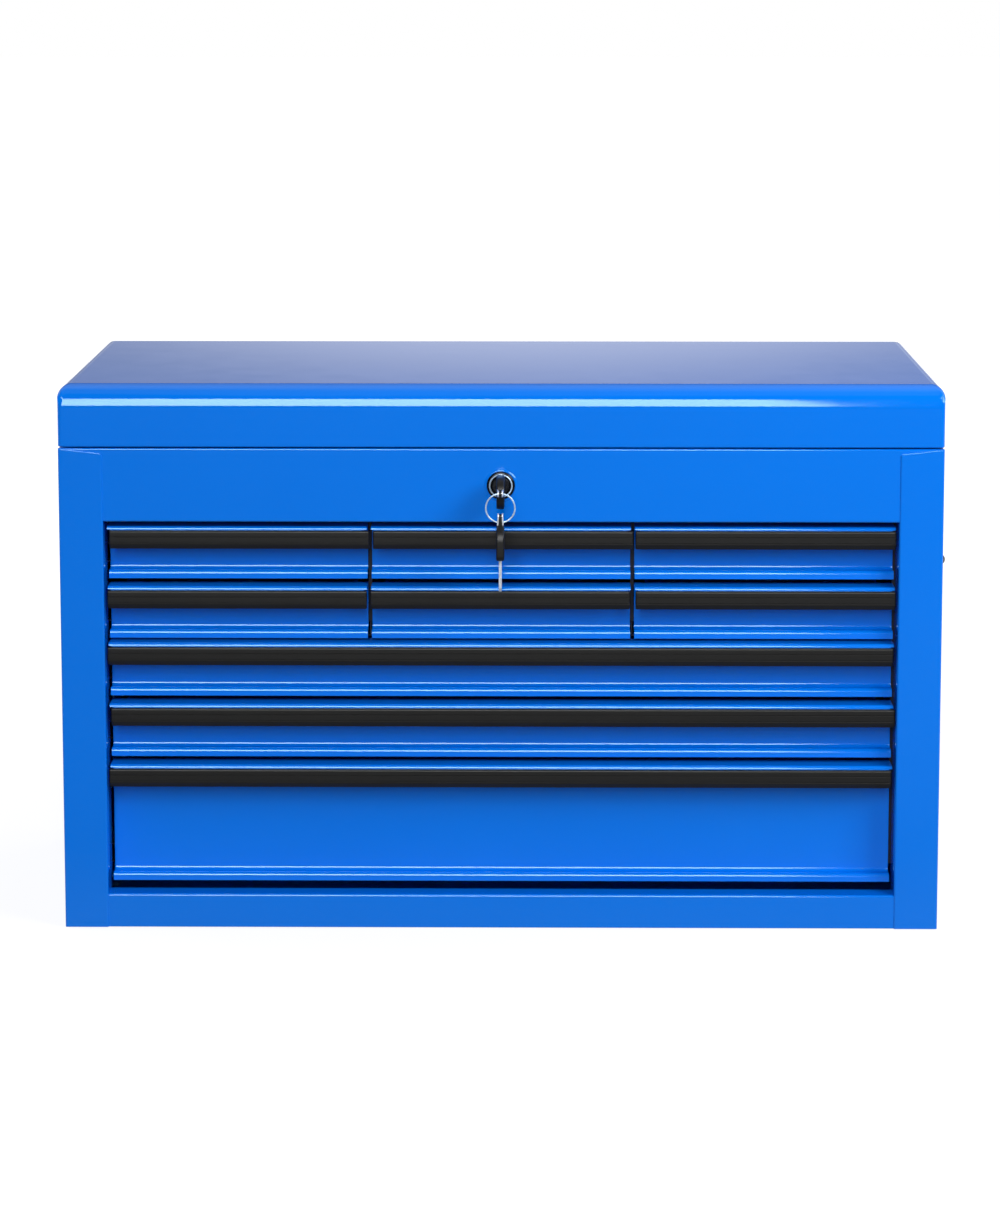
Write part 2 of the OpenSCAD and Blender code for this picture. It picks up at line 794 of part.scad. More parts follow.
// The lock bar: it slides sideways under the till and puts a finger in front of one runner of each drawer
module lock_bar() {
    post_finger = wide_half + bar_finger_w / 2;
    deck_end = row_base(SMALL_ROWS - 1) + slide_up - runner_h / 2;
    post_end = row_base(len(ROWS) - 1) + slide_up - runner_h / 2;
    fork_z = lock_z - cam_pin_at - cam_pin_r - 2;
    color(black) upright_plate(comb_y, bar_t) difference() {
        union() {
            translate([-divider_x - bar_finger_w / 2, bar_z])
                square([post_finger + divider_x + bar_finger_w, bar_h]);
            for (finger = [[-divider_x, deck_end], [divider_x, deck_end], [post_finger, post_end]])
                translate([finger[0] - bar_finger_w / 2, finger[1]])
                    square([bar_finger_w, bar_z + bar_h - finger[1]]);
            translate([cam_pin_x - fork_half_w, bar_z]) square([2 * fork_half_w, lock_z - bar_z]);
        }
        translate([cam_pin_x - cam_pin_r - fork_gap, fork_z])
            square([2 * (cam_pin_r + fork_gap), lock_z - fork_z + cut]);
    }
}

// A key with its shoulder at the origin: the blade points along +Z, the bow and its wire loop lie on -Z
module key_shape(drop) {
    root = 4;
    color(black) difference() {
        union() {
            span([-blade[0] / 2, -blade[1] / 2, -root], [blade[0] / 2, blade[1] / 2, blade_l]);
            along_x(-bow_t / 2, bow_t / 2) translate([drop, 0]) {
                translate([-bow_w / 2, bow_w / 2 - bow_l]) square([bow_w, bow_l - bow_w / 2]);
                translate([0, bow_w / 2 - bow_l]) circle(r = bow_w / 2);
            }
            span([-loop_half, -loop_h / 2, -bow_l - loop_l], [loop_half, loop_h / 2, -bow_l + 2]);
        }
        span([-loop_half + loop_wall, -loop_h, -bow_l - loop_l + loop_wall],
             [loop_half - loop_wall, loop_h, -bow_l]);
        rod_x(-bow_t, 0, -bow_l - loop_hole_at, loop_hole_r, 2 * bow_t);
    }
}

module key() {
    translate([0, bow_y, lock_z]) rotate([-90, 0, 0]) key_shape(bow_drop);
}

module key_ring() {
    color(chrome) translate([0, ring_y, ring_top - ring_r]) rotate([90, 0, 0])
        rotate_extrude() translate([ring_r, 0]) circle(r = ring_wire_r);
}

module spare_key() {
    translate([0, ring_y, ring_low - ring_seat - loop_hole_at - bow_l]) mirror([0, 0, 1]) key_shape(0);
}

// ---------- Fasteners ----------

// The rivets of the hinge's leaf above (up = 1) or below (up = -1) its axis
module hinge_rivet_row(up) {
    for (x = hinge_rivets) translate([x, back + leaf_t, hinge_z + up * hinge_rivet_at])
        rotate([-90, 0, 0]) rivet(leaf_t + sheet);
}

// A strut's stud, from x to the side wall, with its round base; at is [Y, Z]
module strut_stud(x, at) {
    rod_x(x, at[0], at[1], strut_stud_r, inner_x - x);
    rod_x(inner_x - stud_base_t, at[0], at[1], stud_base_r, stud_base_t);
}

module cabinet_fasteners() {
    color(chrome) {
        hinge_rivet_row(-1);
        both_sides() {
            for (p = bracket_rivets) translate([side_x + bracket_t, p[0], p[1]])
                rotate([0, 90, 0]) rivet(bracket_t + sheet);
            strut_stud(strut_x - strut_eye_w / 2, strut_foot);
        }
        // The nut that holds the lock behind its rail
        difference() {
            rod_y(0, rail_y + sheet, lock_z, lock_nut_r, lock_nut_t);
            rod_y(0, rail_y, lock_z, lock_barrel_r, lock_nut_t + sheet + cut);
        }
    }
}

// The lid's studs stop short of the rods' eyes, because the struts are open there
module lid_fasteners() {
    color(chrome) {
        hinge_rivet_row(1);
        both_sides() strut_stud(strut_x + strut_eye_w / 2 + open_pivot_gap, strut_head);
    }
}

// ---------- Assembly ----------

side_panel(-1);  // side_panel_left
side_panel(1);  // side_panel_right
back_panel();
bottom_panel();
top_rail();
bottom_rail();
till_floor();
drawer_deck();
dividers();
cabinet_rails();
hinge_lower_leaf();
handle_brackets();
lock_barrel();
cabinet_fasteners();
lid_shell();
hinge_upper_leaf();
hinge_pin();
lid_strike();
lid_fasteners();
strut_tube(-1);  // strut_tube_left
strut_rod(-1);  // strut_rod_left
strut_tube(1);  // strut_tube_right
strut_rod(1);  // strut_rod_right
handle_bail(-1);  // handle_bail_left
handle_grip(-1);  // handle_grip_left
handle_bail(1);  // handle_bail_right
handle_grip(1);  // handle_grip_right
lock_plug();
lock_cam();
lock_bar();
key();
key_ring();
spare_key();
for (d = DRAWERS) {
    tray(d);
    pull(d);
    runners(d);
}
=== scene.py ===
"""Sheet-steel tool box with drawers: the looks of its pieces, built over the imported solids."""

import json
import logging
import math
from contextlib import contextmanager
from dataclasses import dataclass
from enum import Enum
from typing import Callable, Iterator, Sequence

import bmesh
import bpy
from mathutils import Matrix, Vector

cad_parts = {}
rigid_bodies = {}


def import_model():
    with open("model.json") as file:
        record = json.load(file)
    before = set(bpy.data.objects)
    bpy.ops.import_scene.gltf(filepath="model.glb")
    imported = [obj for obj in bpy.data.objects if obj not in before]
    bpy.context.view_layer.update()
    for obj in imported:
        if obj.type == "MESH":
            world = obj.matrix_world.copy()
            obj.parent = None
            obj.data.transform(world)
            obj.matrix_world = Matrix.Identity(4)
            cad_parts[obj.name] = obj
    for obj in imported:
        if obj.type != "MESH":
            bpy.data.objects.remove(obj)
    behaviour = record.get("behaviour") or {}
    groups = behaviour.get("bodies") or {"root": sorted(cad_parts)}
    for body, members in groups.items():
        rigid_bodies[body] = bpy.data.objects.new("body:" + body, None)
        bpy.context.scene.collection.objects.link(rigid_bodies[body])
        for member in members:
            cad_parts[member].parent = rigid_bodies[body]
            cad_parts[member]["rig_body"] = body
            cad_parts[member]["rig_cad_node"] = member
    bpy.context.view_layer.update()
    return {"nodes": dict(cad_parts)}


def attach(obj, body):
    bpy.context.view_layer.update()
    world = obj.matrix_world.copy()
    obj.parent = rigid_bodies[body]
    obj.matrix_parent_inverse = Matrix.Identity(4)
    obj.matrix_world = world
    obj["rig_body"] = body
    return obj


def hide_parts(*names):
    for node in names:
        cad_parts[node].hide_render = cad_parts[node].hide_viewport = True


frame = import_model()

LOG = logging.getLogger("tool_box")

Piece = bpy.types.Object
Socket = bpy.types.NodeSocket
Feed = float | Sequence[float] | Socket
Point = tuple[float, float, float]
Corner = tuple[float, float]
Colour = tuple[float, float, float, float]
Test = Callable[[Vector, Vector], bool]

MM = 0.001
NEAR = 0.01  # Millimetres within which two places are one.
ALONG = 0.9  # A direction's share of an axis from which it counts as following it.
SIDE_X = 330.0
FRONT_Y = -153.5
LOCK_Z = 338.75


class Axis(Enum):
    """A direction of the row frame, with the turn that brings +Z onto it."""

    X = (0.0, math.pi / 2, 0.0)
    Y = (-math.pi / 2, 0.0, 0.0)


class Element(Enum):
    """What an edit acts on, with its word in the extrude operators' names."""

    VERT = "vertices"
    EDGE = "edges"
    FACE = "region"


VERT, EDGE, FACE = Element


# ---------- Modelling moves ----------


def metres(*values: float) -> Vector:
    """Millimetres as a vector in metres."""
    return Vector(values) * MM


def deselect() -> None:
    """Leaves edit mode and deselects every object."""
    if bpy.context.mode != "OBJECT":
        bpy.ops.object.mode_set(mode="OBJECT")
    bpy.ops.object.select_all(action="DESELECT")


def activate(piece: Piece) -> None:
    """Makes one piece the only selected and the active one."""
    deselect()
    piece.select_set(True)
    bpy.context.view_layer.objects.active = piece


def named(name: str) -> Piece:
    """The active object, with its mesh, under a new name."""
    piece = bpy.context.object
    piece.name = piece.data.name = name
    return piece


@contextmanager
def editing(piece: Piece) -> Iterator[None]:
    """Opens a piece in edit mode with nothing selected, and closes it again."""
    activate(piece)
    bpy.ops.object.mode_set(mode="EDIT")
    bpy.ops.mesh.select_mode(type="VERT")
    bpy.ops.mesh.select_all(action="DESELECT")
    try:
        yield
    finally:
        bpy.ops.object.mode_set(mode="OBJECT")


def pick(piece: Piece, kind: Element, test: Test) -> None:
    """Selects, in edit mode, the elements that pass a test, and nothing else.

    Args:
        piece: the piece that is being edited.
        kind: which elements are tested.
        test: is given an element's middle in millimetres and its normal, or an edge's direction.
    """
    bpy.ops.mesh.select_mode(type=kind.name)
    bpy.ops.mesh.select_all(action="DESELECT")
    mesh = bmesh.from_edit_mesh(piece.data)
    if kind is VERT:
        items = [(v, v.co, v.normal) for v in mesh.verts]
    elif kind is EDGE:
        ends = [(e, e.verts[0].co, e.verts[1].co) for e in mesh.edges]
        items = [(e, (a + b) / 2, (b - a).normalized()) for e, a, b in ends]
    else:
        items = [(f, f.calc_center_median(), f.normal) for f in mesh.faces]
    for item, middle, direction in items:
        if test(middle / MM, direction):
            item.select_set(True)
    mesh.select_flush_mode()
    bmesh.update_edit_mesh(piece.data)


def pick_all() -> None:
    """Selects the whole mesh, in edit mode."""
    bpy.ops.mesh.select_all(action="SELECT")


def seam(corner: Corner) -> Test:
    """The test for an edge that runs along X through a (Y, Z) corner."""
    return lambda spot, way: abs(way.x) > ALONG and math.dist((spot.y, spot.z), corner) < NEAR


def extrude(kind: Element, *shift: float) -> None:
    """Extrudes what is selected, in edit mode, by a shift in millimetres."""
    move = getattr(bpy.ops.mesh, f"extrude_{kind.value}_move")
    move(TRANSFORM_OT_translate={"value": metres(*shift)})


def bevel(piece: Piece, *rounds: tuple[Test, float, int]) -> None:
    """Bevels edges in edit mode, in one or more rounds.

    Args:
        piece: the piece that is being edited.
        rounds: each a test for the edges, an offset in millimetres and a number of faces.
    """
    for test, offset, segments in rounds:
        pick(piece, EDGE, test)
        bpy.ops.mesh.bevel(offset=offset * MM, segments=segments)


def turn_in(long: float, deep: float, width: float, middle: Point) -> None:
    """Extrudes a selected level loop, long on X and deep on Y, inwards by a width, in millimetres."""
    extrude(EDGE, 0, 0, 0)
    shrink = (1 - 2 * width / long, 1 - 2 * width / deep, 1)
    bpy.ops.transform.resize(value=shrink, center_override=metres(*middle))


def face_outwards() -> None:
    """Selects the whole mesh, in edit mode, and turns its faces outwards."""
    pick_all()
    bpy.ops.mesh.normals_make_consistent(inside=False)


def place(name: str, size: Sequence[float] = (1, 1, 1)) -> Piece:
    """Names the primitive that was just added, and moves its place and size into its mesh."""
    bpy.context.object.scale = size
    bpy.ops.object.transform_apply()
    return named(name)


def seat(piece: Piece, turn: Point, spot: Sequence[float]) -> None:
    """Turns a piece about the origin and moves it, within its mesh.

    Args:
        piece: the piece.
        turn: its turn about X, Y and Z, in radians.
        spot: where the origin of its mesh goes, in millimetres.
    """
    activate(piece)
    piece.rotation_euler = turn
    piece.location = metres(*spot)
    bpy.ops.object.transform_apply()


def block(name: str, low: Sequence[float], high: Sequence[float]) -> Piece:
    """A box between two corners.

    Args:
        name: the piece's name.
        low: its lowest corner, in millimetres.
        high: its highest corner.

    Returns:
        The box.
    """
    deselect()
    low_m, high_m = metres(*low), metres(*high)
    bpy.ops.mesh.primitive_cube_add(size=1, location=(low_m + high_m) / 2)
    return place(name, high_m - low_m)


def modify(piece: Piece, kind: str, **settings: object) -> None:
    """Adds a modifier to a piece and applies it.

    Args:
        piece: the piece, in object mode.
        kind: the modifier's type.
        settings: the modifier's properties.
    """
    activate(piece)
    modifier = piece.modifiers.new(kind.lower(), kind)
    for name, value in settings.items():
        setattr(modifier, name, value)
    bpy.ops.object.modifier_apply(modifier=modifier.name)


def keep_flats(piece: Piece) -> None:
    """Weights the shading by face area, so that flat faces stay flat beside their bends."""
    modify(piece, "WEIGHTED_NORMAL", mode="FACE_AREA", weight=100, keep_sharp=True)


def finish_edges(piece: Piece, width: float = 0.0, segments: int = 2, angle: float = 40.0) -> Piece:
    """Rounds every edge sharper than an angle, and smooths the shading.

    Args:
        piece: the piece, in object mode.
        width: the bevel's width in millimetres, or 0 for none.
        segments: the number of faces across each bevel.
        angle: the least angle that counts as an edge, in degrees.

    Returns:
        The piece.
    """
    if width > 0:
        sharp = math.radians(angle)
        modify(piece, "BEVEL", width=width * MM, segments=segments, limit_method="ANGLE", angle_limit=sharp)
    activate(piece)
    bpy.ops.object.shade_smooth_by_angle(angle=math.radians(35))
    keep_flats(piece)
    return piece


def thicken(piece: Piece, wall: float) -> None:
    """Gives a bent surface its wall, in millimetres, on the side that its faces turn away from."""
    modify(piece, "SOLIDIFY", thickness=wall * MM, offset=-1, use_even_offset=True)


def cut(piece: Piece, cutter: Piece) -> None:
    """Cuts one piece with another and throws the cutter away."""
    modify(piece, "BOOLEAN", operation="DIFFERENCE", solver="EXACT", object=cutter)
    bpy.data.objects.remove(cutter)


def bore(piece: Piece, middle: Point, axis: Axis, radius: float, length: float, sides: int = 48) -> None:
    """Bores a round hole.

    Args:
        piece: the piece.
        middle: the hole's middle, in millimetres.
        axis: the axis that it follows.
        radius: its radius.
        length: how long a drill cuts it.
        sides: the number of faces round it.
    """
    deselect()
    spot, radius, length = metres(*middle), radius * MM, length * MM
    bpy.ops.mesh.primitive_cylinder_add(
        vertices=sides, radius=radius, depth=length, location=spot, rotation=axis.value
    )
    cut(piece, place("drill"))


def fold(
    name: str, section: Sequence[Corner], radii: Sequence[float], start: float, stop: float, segments: int = 5
) -> Piece:
    """A strip of sheet that runs along X and is folded about lines along X.

    Args:
        name: the piece's name.
        section: the fold lines and both free edges as (Y, Z), in millimetres.
        radii: the bend radius at each inner corner of the section.
        start: where the strip begins on X.
        stop: where it ends on X.
        segments: the number of faces across each bend.

    Returns:
        The surface, one face thick.
    """
    deselect()
    (y0, z0), (y1, z1) = section[:2]
    bpy.ops.mesh.primitive_plane_add(
        size=1,
        location=metres((start + stop) / 2, (y0 + y1) / 2, (z0 + z1) / 2),
        rotation=(math.atan2(z1 - z0, y1 - y0), 0, 0),
    )
    piece = place(name, ((stop - start) * MM, math.hypot(y1 - y0, z1 - z0) * MM, 1))
    with editing(piece):
        for here, there in zip(section[1:], section[2:]):
            pick(piece, EDGE, seam(here))
            extrude(EDGE, 0, there[0] - here[0], there[1] - here[1])
        for before, here, after, radius in zip(section, section[1:], section[2:], radii):
            arriving = math.atan2(here[1] - before[1], here[0] - before[0])
            leaving = math.atan2(after[1] - here[1], after[0] - here[0])
            turn = abs((leaving - arriving + math.pi) % math.tau - math.pi)
            bevel(piece, (seam(here), radius * math.tan(turn / 2), segments))
    return piece


def turn_upright(piece: Piece) -> None:
    """Turns a strip that runs along X to run along Z: its section's (Y, Z) becomes (X, Y)."""
    activate(piece)
    piece.rotation_mode = "AXIS_ANGLE"
    piece.rotation_axis_angle = (-math.tau / 3, 1, 1, 1)
    bpy.ops.object.transform_apply()
    piece.rotation_mode = "XYZ"


def wire(name: str, points: Sequence[Point]) -> Piece:
    """A chain of edges.

    Args:
        name: the piece's name.
        points: its points in order, in millimetres.

    Returns:
        The chain, without faces.
    """
    deselect()
    bpy.ops.mesh.primitive_plane_add(size=MM)
    piece = named(name)
    with editing(piece):
        pick_all()
        bpy.ops.mesh.merge(type="CENTER")
        bpy.ops.transform.translate(value=metres(*points[0]))
        for here, there in zip(points, points[1:]):
            extrude(VERT, *(b - a for a, b in zip(here, there)))
    return piece


def lathe(name: str, outline: Sequence[Corner], middle: Point, steps: int = 72) -> Piece:
    """A piece turned about a line along Y.

    Args:
        name: the piece's name.
        outline: points as (radius, distance behind the middle), in millimetres.
        middle: the point on the line where the distance is 0.
        steps: the number of faces round the piece.

    Returns:
        The closed surface, with its faces outwards.
    """
    piece = wire(name, [(radius, 0, height) for radius, height in outline])
    with editing(piece):
        pick_all()
        bpy.ops.mesh.spin(steps=steps, angle=math.tau, center=(0, 0, 0), axis=(0, 0, 1))
        pick_all()
        bpy.ops.mesh.remove_doubles(threshold=1e-6)
        face_outwards()
    seat(piece, Axis.Y.value, middle)
    return piece


def prism(name: str, outline: Sequence[Corner], half: float) -> Piece:
    """A bar along X with a closed outline and sharp corners.

    Args:
        name: the bar's name.
        outline: the corners in order, as (Y, Z) in millimetres.
        half: half its length.

    Returns:
        The solid bar.
    """
    piece = wire(name, [(-half, *corner) for corner in outline])
    with editing(piece):
        pick_all()
        bpy.ops.mesh.edge_face_add()
        pick_all()
        extrude(FACE, 2 * half, 0, 0)
        face_outwards()
    return piece


def duplicate(piece: Piece, name: str) -> Piece:
    """A copy of a piece, with its own mesh."""
    activate(piece)
    bpy.ops.object.duplicate()
    return named(name)


def soften(node: str, name: str, width: float) -> Piece:
    """A copy of a node with merged faces and rounded edges.

    Args:
        node: the node that the copy stands for.
        name: the copy's name.
        width: the bevel's width in millimetres.

    Returns:
        The copy, which replaces the node.
    """
    piece = duplicate(frame["nodes"][node], name)
    piece.parent = None
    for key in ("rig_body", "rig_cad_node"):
        piece.pop(key, None)
    with editing(piece):
        pick_all()
        bpy.ops.mesh.remove_doubles(threshold=2e-6)
        bpy.ops.mesh.dissolve_limited(angle_limit=math.radians(1))
    return finish_edges(piece, width)


def mirrored(piece: Piece, name: str) -> Piece:
    """A copy on the other side of the box, with its faces outwards.

    Args:
        piece: the piece on the right.
        name: the copy's name.

    Returns:
        The piece on the left.
    """
    twin = duplicate(piece, name)
    twin.scale = (-1, 1, 1)
    bpy.ops.object.transform_apply()
    with editing(twin):
        face_outwards()
    keep_flats(twin)
    return twin


def join(name: str, pieces: Sequence[Piece]) -> Piece:
    """Joins finished parts of one piece into one mesh.

    Args:
        name: the whole piece's name.
        pieces: its parts.

    Returns:
        The whole piece.
    """
    deselect()
    for piece in pieces:
        piece.select_set(True)
    bpy.context.view_layer.objects.active = pieces[0]
    bpy.ops.object.join()
    return named(name)


# ---------- Finishes ----------


def tone(red: float, green: float, blue: float) -> Colour:
    """A colour given as display values up to 255, in the linear values that a shader takes."""
    linear = [((v / 255 + 0.055) / 1.055) ** 2.4 if v > 10.3 else v / 255 / 12.92 for v in (red, green, blue)]
    return (*linear, 1.0)


class NodeBench:
    """Lays out the nodes of a material or of the world.

    Attributes:
        owner: the material or the world.
        place: the texture coordinates.
    """

    def __init__(self, owner: bpy.types.Material | bpy.types.World, bare: bool = False) -> None:
        """Opens the nodes of a new material or world, and empties them where they start bare."""
        owner.use_nodes = True
        self.owner = owner
        self.tree = owner.node_tree
        if bare:
            self.tree.nodes.clear()
        self.place = self.add("TexCoord").outputs

    def feed(self, node: bpy.types.Node, **values: Feed) -> None:
        """Feeds a node's inputs.

        Args:
            node: the node.
            values: a number, a colour or an output for each input; an underscore stands for a space.
        """
        for name, value in values.items():
            socket = node.inputs[name.replace("_", " ")]
            if isinstance(value, Socket):
                self.tree.links.new(value, socket)
            else:
                socket.default_value = value

    def add(self, kind: str, *outputs: Socket, **values: Feed) -> bpy.types.Node:
        """Adds a node and feeds its inputs.

        Args:
            kind: the node's type without "ShaderNode".
            outputs: the outputs that go to its first inputs, in order.
            values: what other inputs get by name, as in feed.

        Returns:
            The node.
        """
        node = self.tree.nodes.new(f"ShaderNode{kind}")
        for output, socket in zip(outputs, node.inputs):
            self.tree.links.new(output, socket)
        self.feed(node, **values)
        return node

    def maths(self, operation: str, first: Socket, second: Socket) -> Socket:
        """Two values joined by an operation."""
        node = self.add("Math", first, second)
        node.operation = operation
        return node.outputs[0]

    def span(self, value: Socket, start: float, stop: float, low: float = 0.0, high: float = 1.0) -> Socket:
        """A value from start..stop, mapped onto low..high."""
        node = self.add("MapRange", value, From_Min=start, From_Max=stop, To_Min=low, To_Max=high)
        return node.outputs["Result"]

    def noise(self, grain: float, detail: float, stretch: Point = (1, 1, 1)) -> Socket:
        """Noise from 0 to 1.

        Args:
            grain: the size of one grain in millimetres.
            detail: how many finer layers lie in it.
            stretch: how much denser the grain is along X, Y and Z.

        Returns:
            The noise's value.
        """
        spot = self.add("Mapping", self.place["Object"], Scale=stretch).outputs["Vector"]
        return self.add("TexNoise", spot, Scale=1 / (grain * MM), Detail=detail).outputs["Fac"]

    def cells(self, size: float) -> Socket:
        """Crystals of a size in millimetres, each with its own value from 0 to 1."""
        crystals = self.add("TexVoronoi", self.place["Object"], Scale=1 / (size * MM))
        return self.add("SeparateColor", crystals.outputs["Color"]).outputs["Red"]

    def blend(self, factor: Socket, first: Colour, second: Colour) -> Socket:
        """A colour from the first, at 0, to the second, at 1."""
        mix = self.add("Mix", factor)
        mix.data_type = "RGBA"
        self.feed(mix, A=first, B=second)
        return mix.outputs["Result"]

    def rays(self) -> tuple[Socket, Socket]:
        """What is 1 for a camera's ray, and what is 1 for a ray from gloss or through glass."""
        path = self.add("LightPath").outputs
        mirrored_ray = self.maths("MAXIMUM", path["Is Glossy Ray"], path["Is Transmission Ray"])
        return path["Is Camera Ray"], mirrored_ray


@dataclass(frozen=True)
class Coat:
    """What every finish says.

    Attributes:
        name: the material's name.
        slot: the record's slot; not used by the script.
        colour: its tone.
        shade: the tone that it drifts to.
        roughness: 0 for a mirror, 1 for chalk.
    """

    name: str
    slot: str
    colour: Colour
    shade: Colour
    roughness: float

    def bench(self) -> NodeBench:
        """The bench on which the finish's material is made."""
        return NodeBench(bpy.data.materials.new(self.name))

    def lay(
        self,
        bench: NodeBench,
        drift: Socket,
        gloss: tuple[Socket, float, float],
        relief: tuple[Socket, float],
        **constants: Feed,
    ) -> bpy.types.Material:
        """Lays the finish over its patterns, which go from 0 to 1.

        Args:
            bench: the material's nodes.
            drift: where the colour turns into the shade.
            gloss: a pattern, and what its middle range adds to the roughness at least and at most.
            relief: a pattern, and how high it stands in millimetres.
            constants: what is the same all over.

        Returns:
            The finished material.
        """
        pattern, least, most = gloss
        height, depth = relief
        bench.feed(
            bench.tree.nodes["Principled BSDF"],
            Base_Color=bench.blend(drift, self.colour, self.shade),
            Roughness=bench.span(pattern, 0.3, 0.7, self.roughness + least, self.roughness + most),
            Normal=bench.add("Bump", Height=height, Distance=depth * MM).outputs["Normal"],
            **constants,
        )
        return bench.owner


@dataclass(frozen=True)
class BakedPaint(Coat):
    """Baked paint with a fine orange peel.

    Attributes:
        level: how strongly it reflects head-on, 0.5 for common paint.
        sheen: the tint of what it reflects head-on.
        peel: the size of one dimple in millimetres.
        depth: the dimples' depth in millimetres.
    """

    level: float
    sheen: Colour
    peel: float
    depth: float

    def material(self) -> bpy.types.Material:
        """The paint, with a slight change of tone and of gloss over the sheet."""
        bench = self.bench()
        gloss = (bench.noise(grain=25, detail=4), -0.15 * self.roughness, 0.15 * self.roughness)
        relief = (bench.noise(self.peel, detail=1.5), self.depth)
        drift = bench.noise(grain=90, detail=3)
        return self.lay(bench, drift, gloss, relief, Specular_IOR_Level=self.level, Specular_Tint=self.sheen)


@dataclass(frozen=True)
class MouldedPlastic(Coat):
    """Moulded plastic with the fine grain of its tool."""

    def material(self) -> bpy.types.Material:
        """The plastic, grained all over."""
        bench = self.bench()
        grain, drift = bench.noise(grain=0.45, detail=3), bench.noise(grain=14, detail=4)
        return self.lay(bench, drift, (grain, -0.06, 0.08), (grain, 0.012), Specular_IOR_Level=0.35)


@dataclass(frozen=True)
class GalvanisedSteel(Coat):
    """Zinc-plated sheet with faint crystals, of a size in millimetres, and rolling lines."""

    crystal: float

    def material(self) -> bpy.types.Material:
        """The plated sheet."""
        bench = self.bench()
        lines = bench.noise(grain=1.2, detail=3, stretch=(1, 0.05, 1))
        return self.lay(bench, bench.cells(self.crystal), (lines, -0.07, 0.1), (lines, 0.01), Metallic=1.0)


@dataclass(frozen=True)
class ChromePlate(Coat):
    """Bright plating with hairline scratches; below 1, metal is the share that isn't a white bloom, a diffuse
    white that brightens the metal as a painted sheen.
    """

    metal: float = 1.0

    def material(self) -> bpy.types.Material:
        """The plating, a little duller where it is handled."""
        bench = self.bench()
        hairs = bench.noise(grain=0.3, detail=2, stretch=(1, 1, 0.08))
        drift = bench.noise(grain=6, detail=3)
        return self.lay(bench, drift, (hairs, 0.0, 0.1), (hairs, 0.004), Metallic=self.metal)


BLUES = (tone(0, 116, 230), tone(0, 113, 226))
BLACKS = (tone(22, 22, 23), tone(30, 30, 31))
# Dark navy for the hidden slides, dividers, deck, rails and lock bar: painted shade, so that the gaps between
# the drawers read dark.
GAP_SHADE_NAVY = (tone(14, 20, 36), tone(20, 26, 42))
WHITE = (1.0, 1.0, 1.0, 1.0)
PALE_BLUE = (0.58, 0.87, 1.0, 1.0)
SKY_BLUE = (0.5, 0.82, 1.0, 1.0)


class Finish(Enum):
    """The finishes of this tool box."""

    BLUE = BakedPaint("blue_paint", "blue_paint", *BLUES, 0.07, 0.72, PALE_BLUE, 2.6, 0.0005)
    BLUE_INSIDE = BakedPaint("blue_paint_inside", "blue_paint", *BLUES, 0.3, 0.15, SKY_BLUE, 2.6, 0.0007)
    BLACK = BakedPaint("black_paint", "black_paint", *BLACKS, 0.42, 0.4, WHITE, 1.4, 0.01)
    # Painted shade: the parts seen through the gaps between the drawers are painted dark to look shaded.
    SLIDE = BakedPaint("slide_paint", "black_paint", *GAP_SHADE_NAVY, 0.45, 0.3, WHITE, 1.4, 0.01)
    PLASTIC = MouldedPlastic("black_plastic", "black_plastic", tone(17, 17, 17), tone(22, 22, 22), 0.37)
    ZINC = GalvanisedSteel("zinc_steel", "zinc_steel", tone(192, 195, 199), tone(182, 185, 190), 0.38, 5)
    SMOKED_ZINC = GalvanisedSteel("smoked_zinc", "zinc_steel", tone(58, 60, 64), tone(48, 50, 54), 0.3, 3)
    # Key steel and nickel are tinted pale blue as a painted reflection of the blue paint, and their white
    # bloom is a painted sheen.
    KEY_STEEL = ChromePlate("key_steel", "zinc_steel", tone(230, 238, 250), tone(218, 226, 240), 0.22, 0.5)
    NICKEL = ChromePlate("nickel", "chromed_steel", tone(208, 234, 255), tone(196, 222, 246), 0.22, 0.5)
    # Chrome given a dark colour: a painted dark reflection of the dim surroundings, for the lock's collar and
    # barrel.
    SMOKED = ChromePlate("smoked_chrome", "chromed_steel", tone(52, 54, 60), tone(44, 46, 52), 0.2)
    CHROME = ChromePlate("chrome", "chromed_steel", tone(226, 228, 231), tone(214, 216, 220), 0.08)


@dataclass
class SubAssembly:
    """A group of pieces that are made and fitted together."""

    finishes: dict[Finish, bpy.types.Material]

    def fit(self, piece: Piece, finish: Finish, body: str, node: str) -> Piece:
        """Dresses a finished piece and hangs it on its body.

        Args:
            piece: the piece, in its place.
            finish: what it is finished in.
            body: the body it moves with.
            node: the node it stands for.

        Returns:
            The piece.
        """
        piece.data.materials.clear()
        piece.data.materials.append(self.finishes[finish])
        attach(piece, body)
        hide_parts(node)
        LOG.info("%s: %d faces, on %s, for %s", piece.name, len(piece.data.polygons), body, node)
        return piece

    def line(self, piece: Piece, finish: Finish, test: Test) -> None:
        """Gives some of a piece's faces a finish of their own.

        Args:
            piece: the piece, already dressed.
            finish: what the faces are finished in.
            test: is given a face's middle in millimetres and its normal.
        """
        piece.data.materials.append(self.finishes[finish])
        with editing(piece):
            pick(piece, FACE, test)
            piece.active_material_index = len(piece.data.materials) - 1
            bpy.ops.object.material_slot_assign()

    def keep(self, finish: Finish, *nodes: str) -> None:
        """Gives the finish to nodes whose shape is right as it is.

        Args:
            finish: what they are finished in.
            nodes: the nodes.
        """
        for node in nodes:
            for slot in frame["nodes"][node].material_slots:
                slot.material = self.finishes[finish]
            LOG.info("%s: kept, in %s", node, finish.value.name)


# ---------- The sheet-metal cabinet ----------


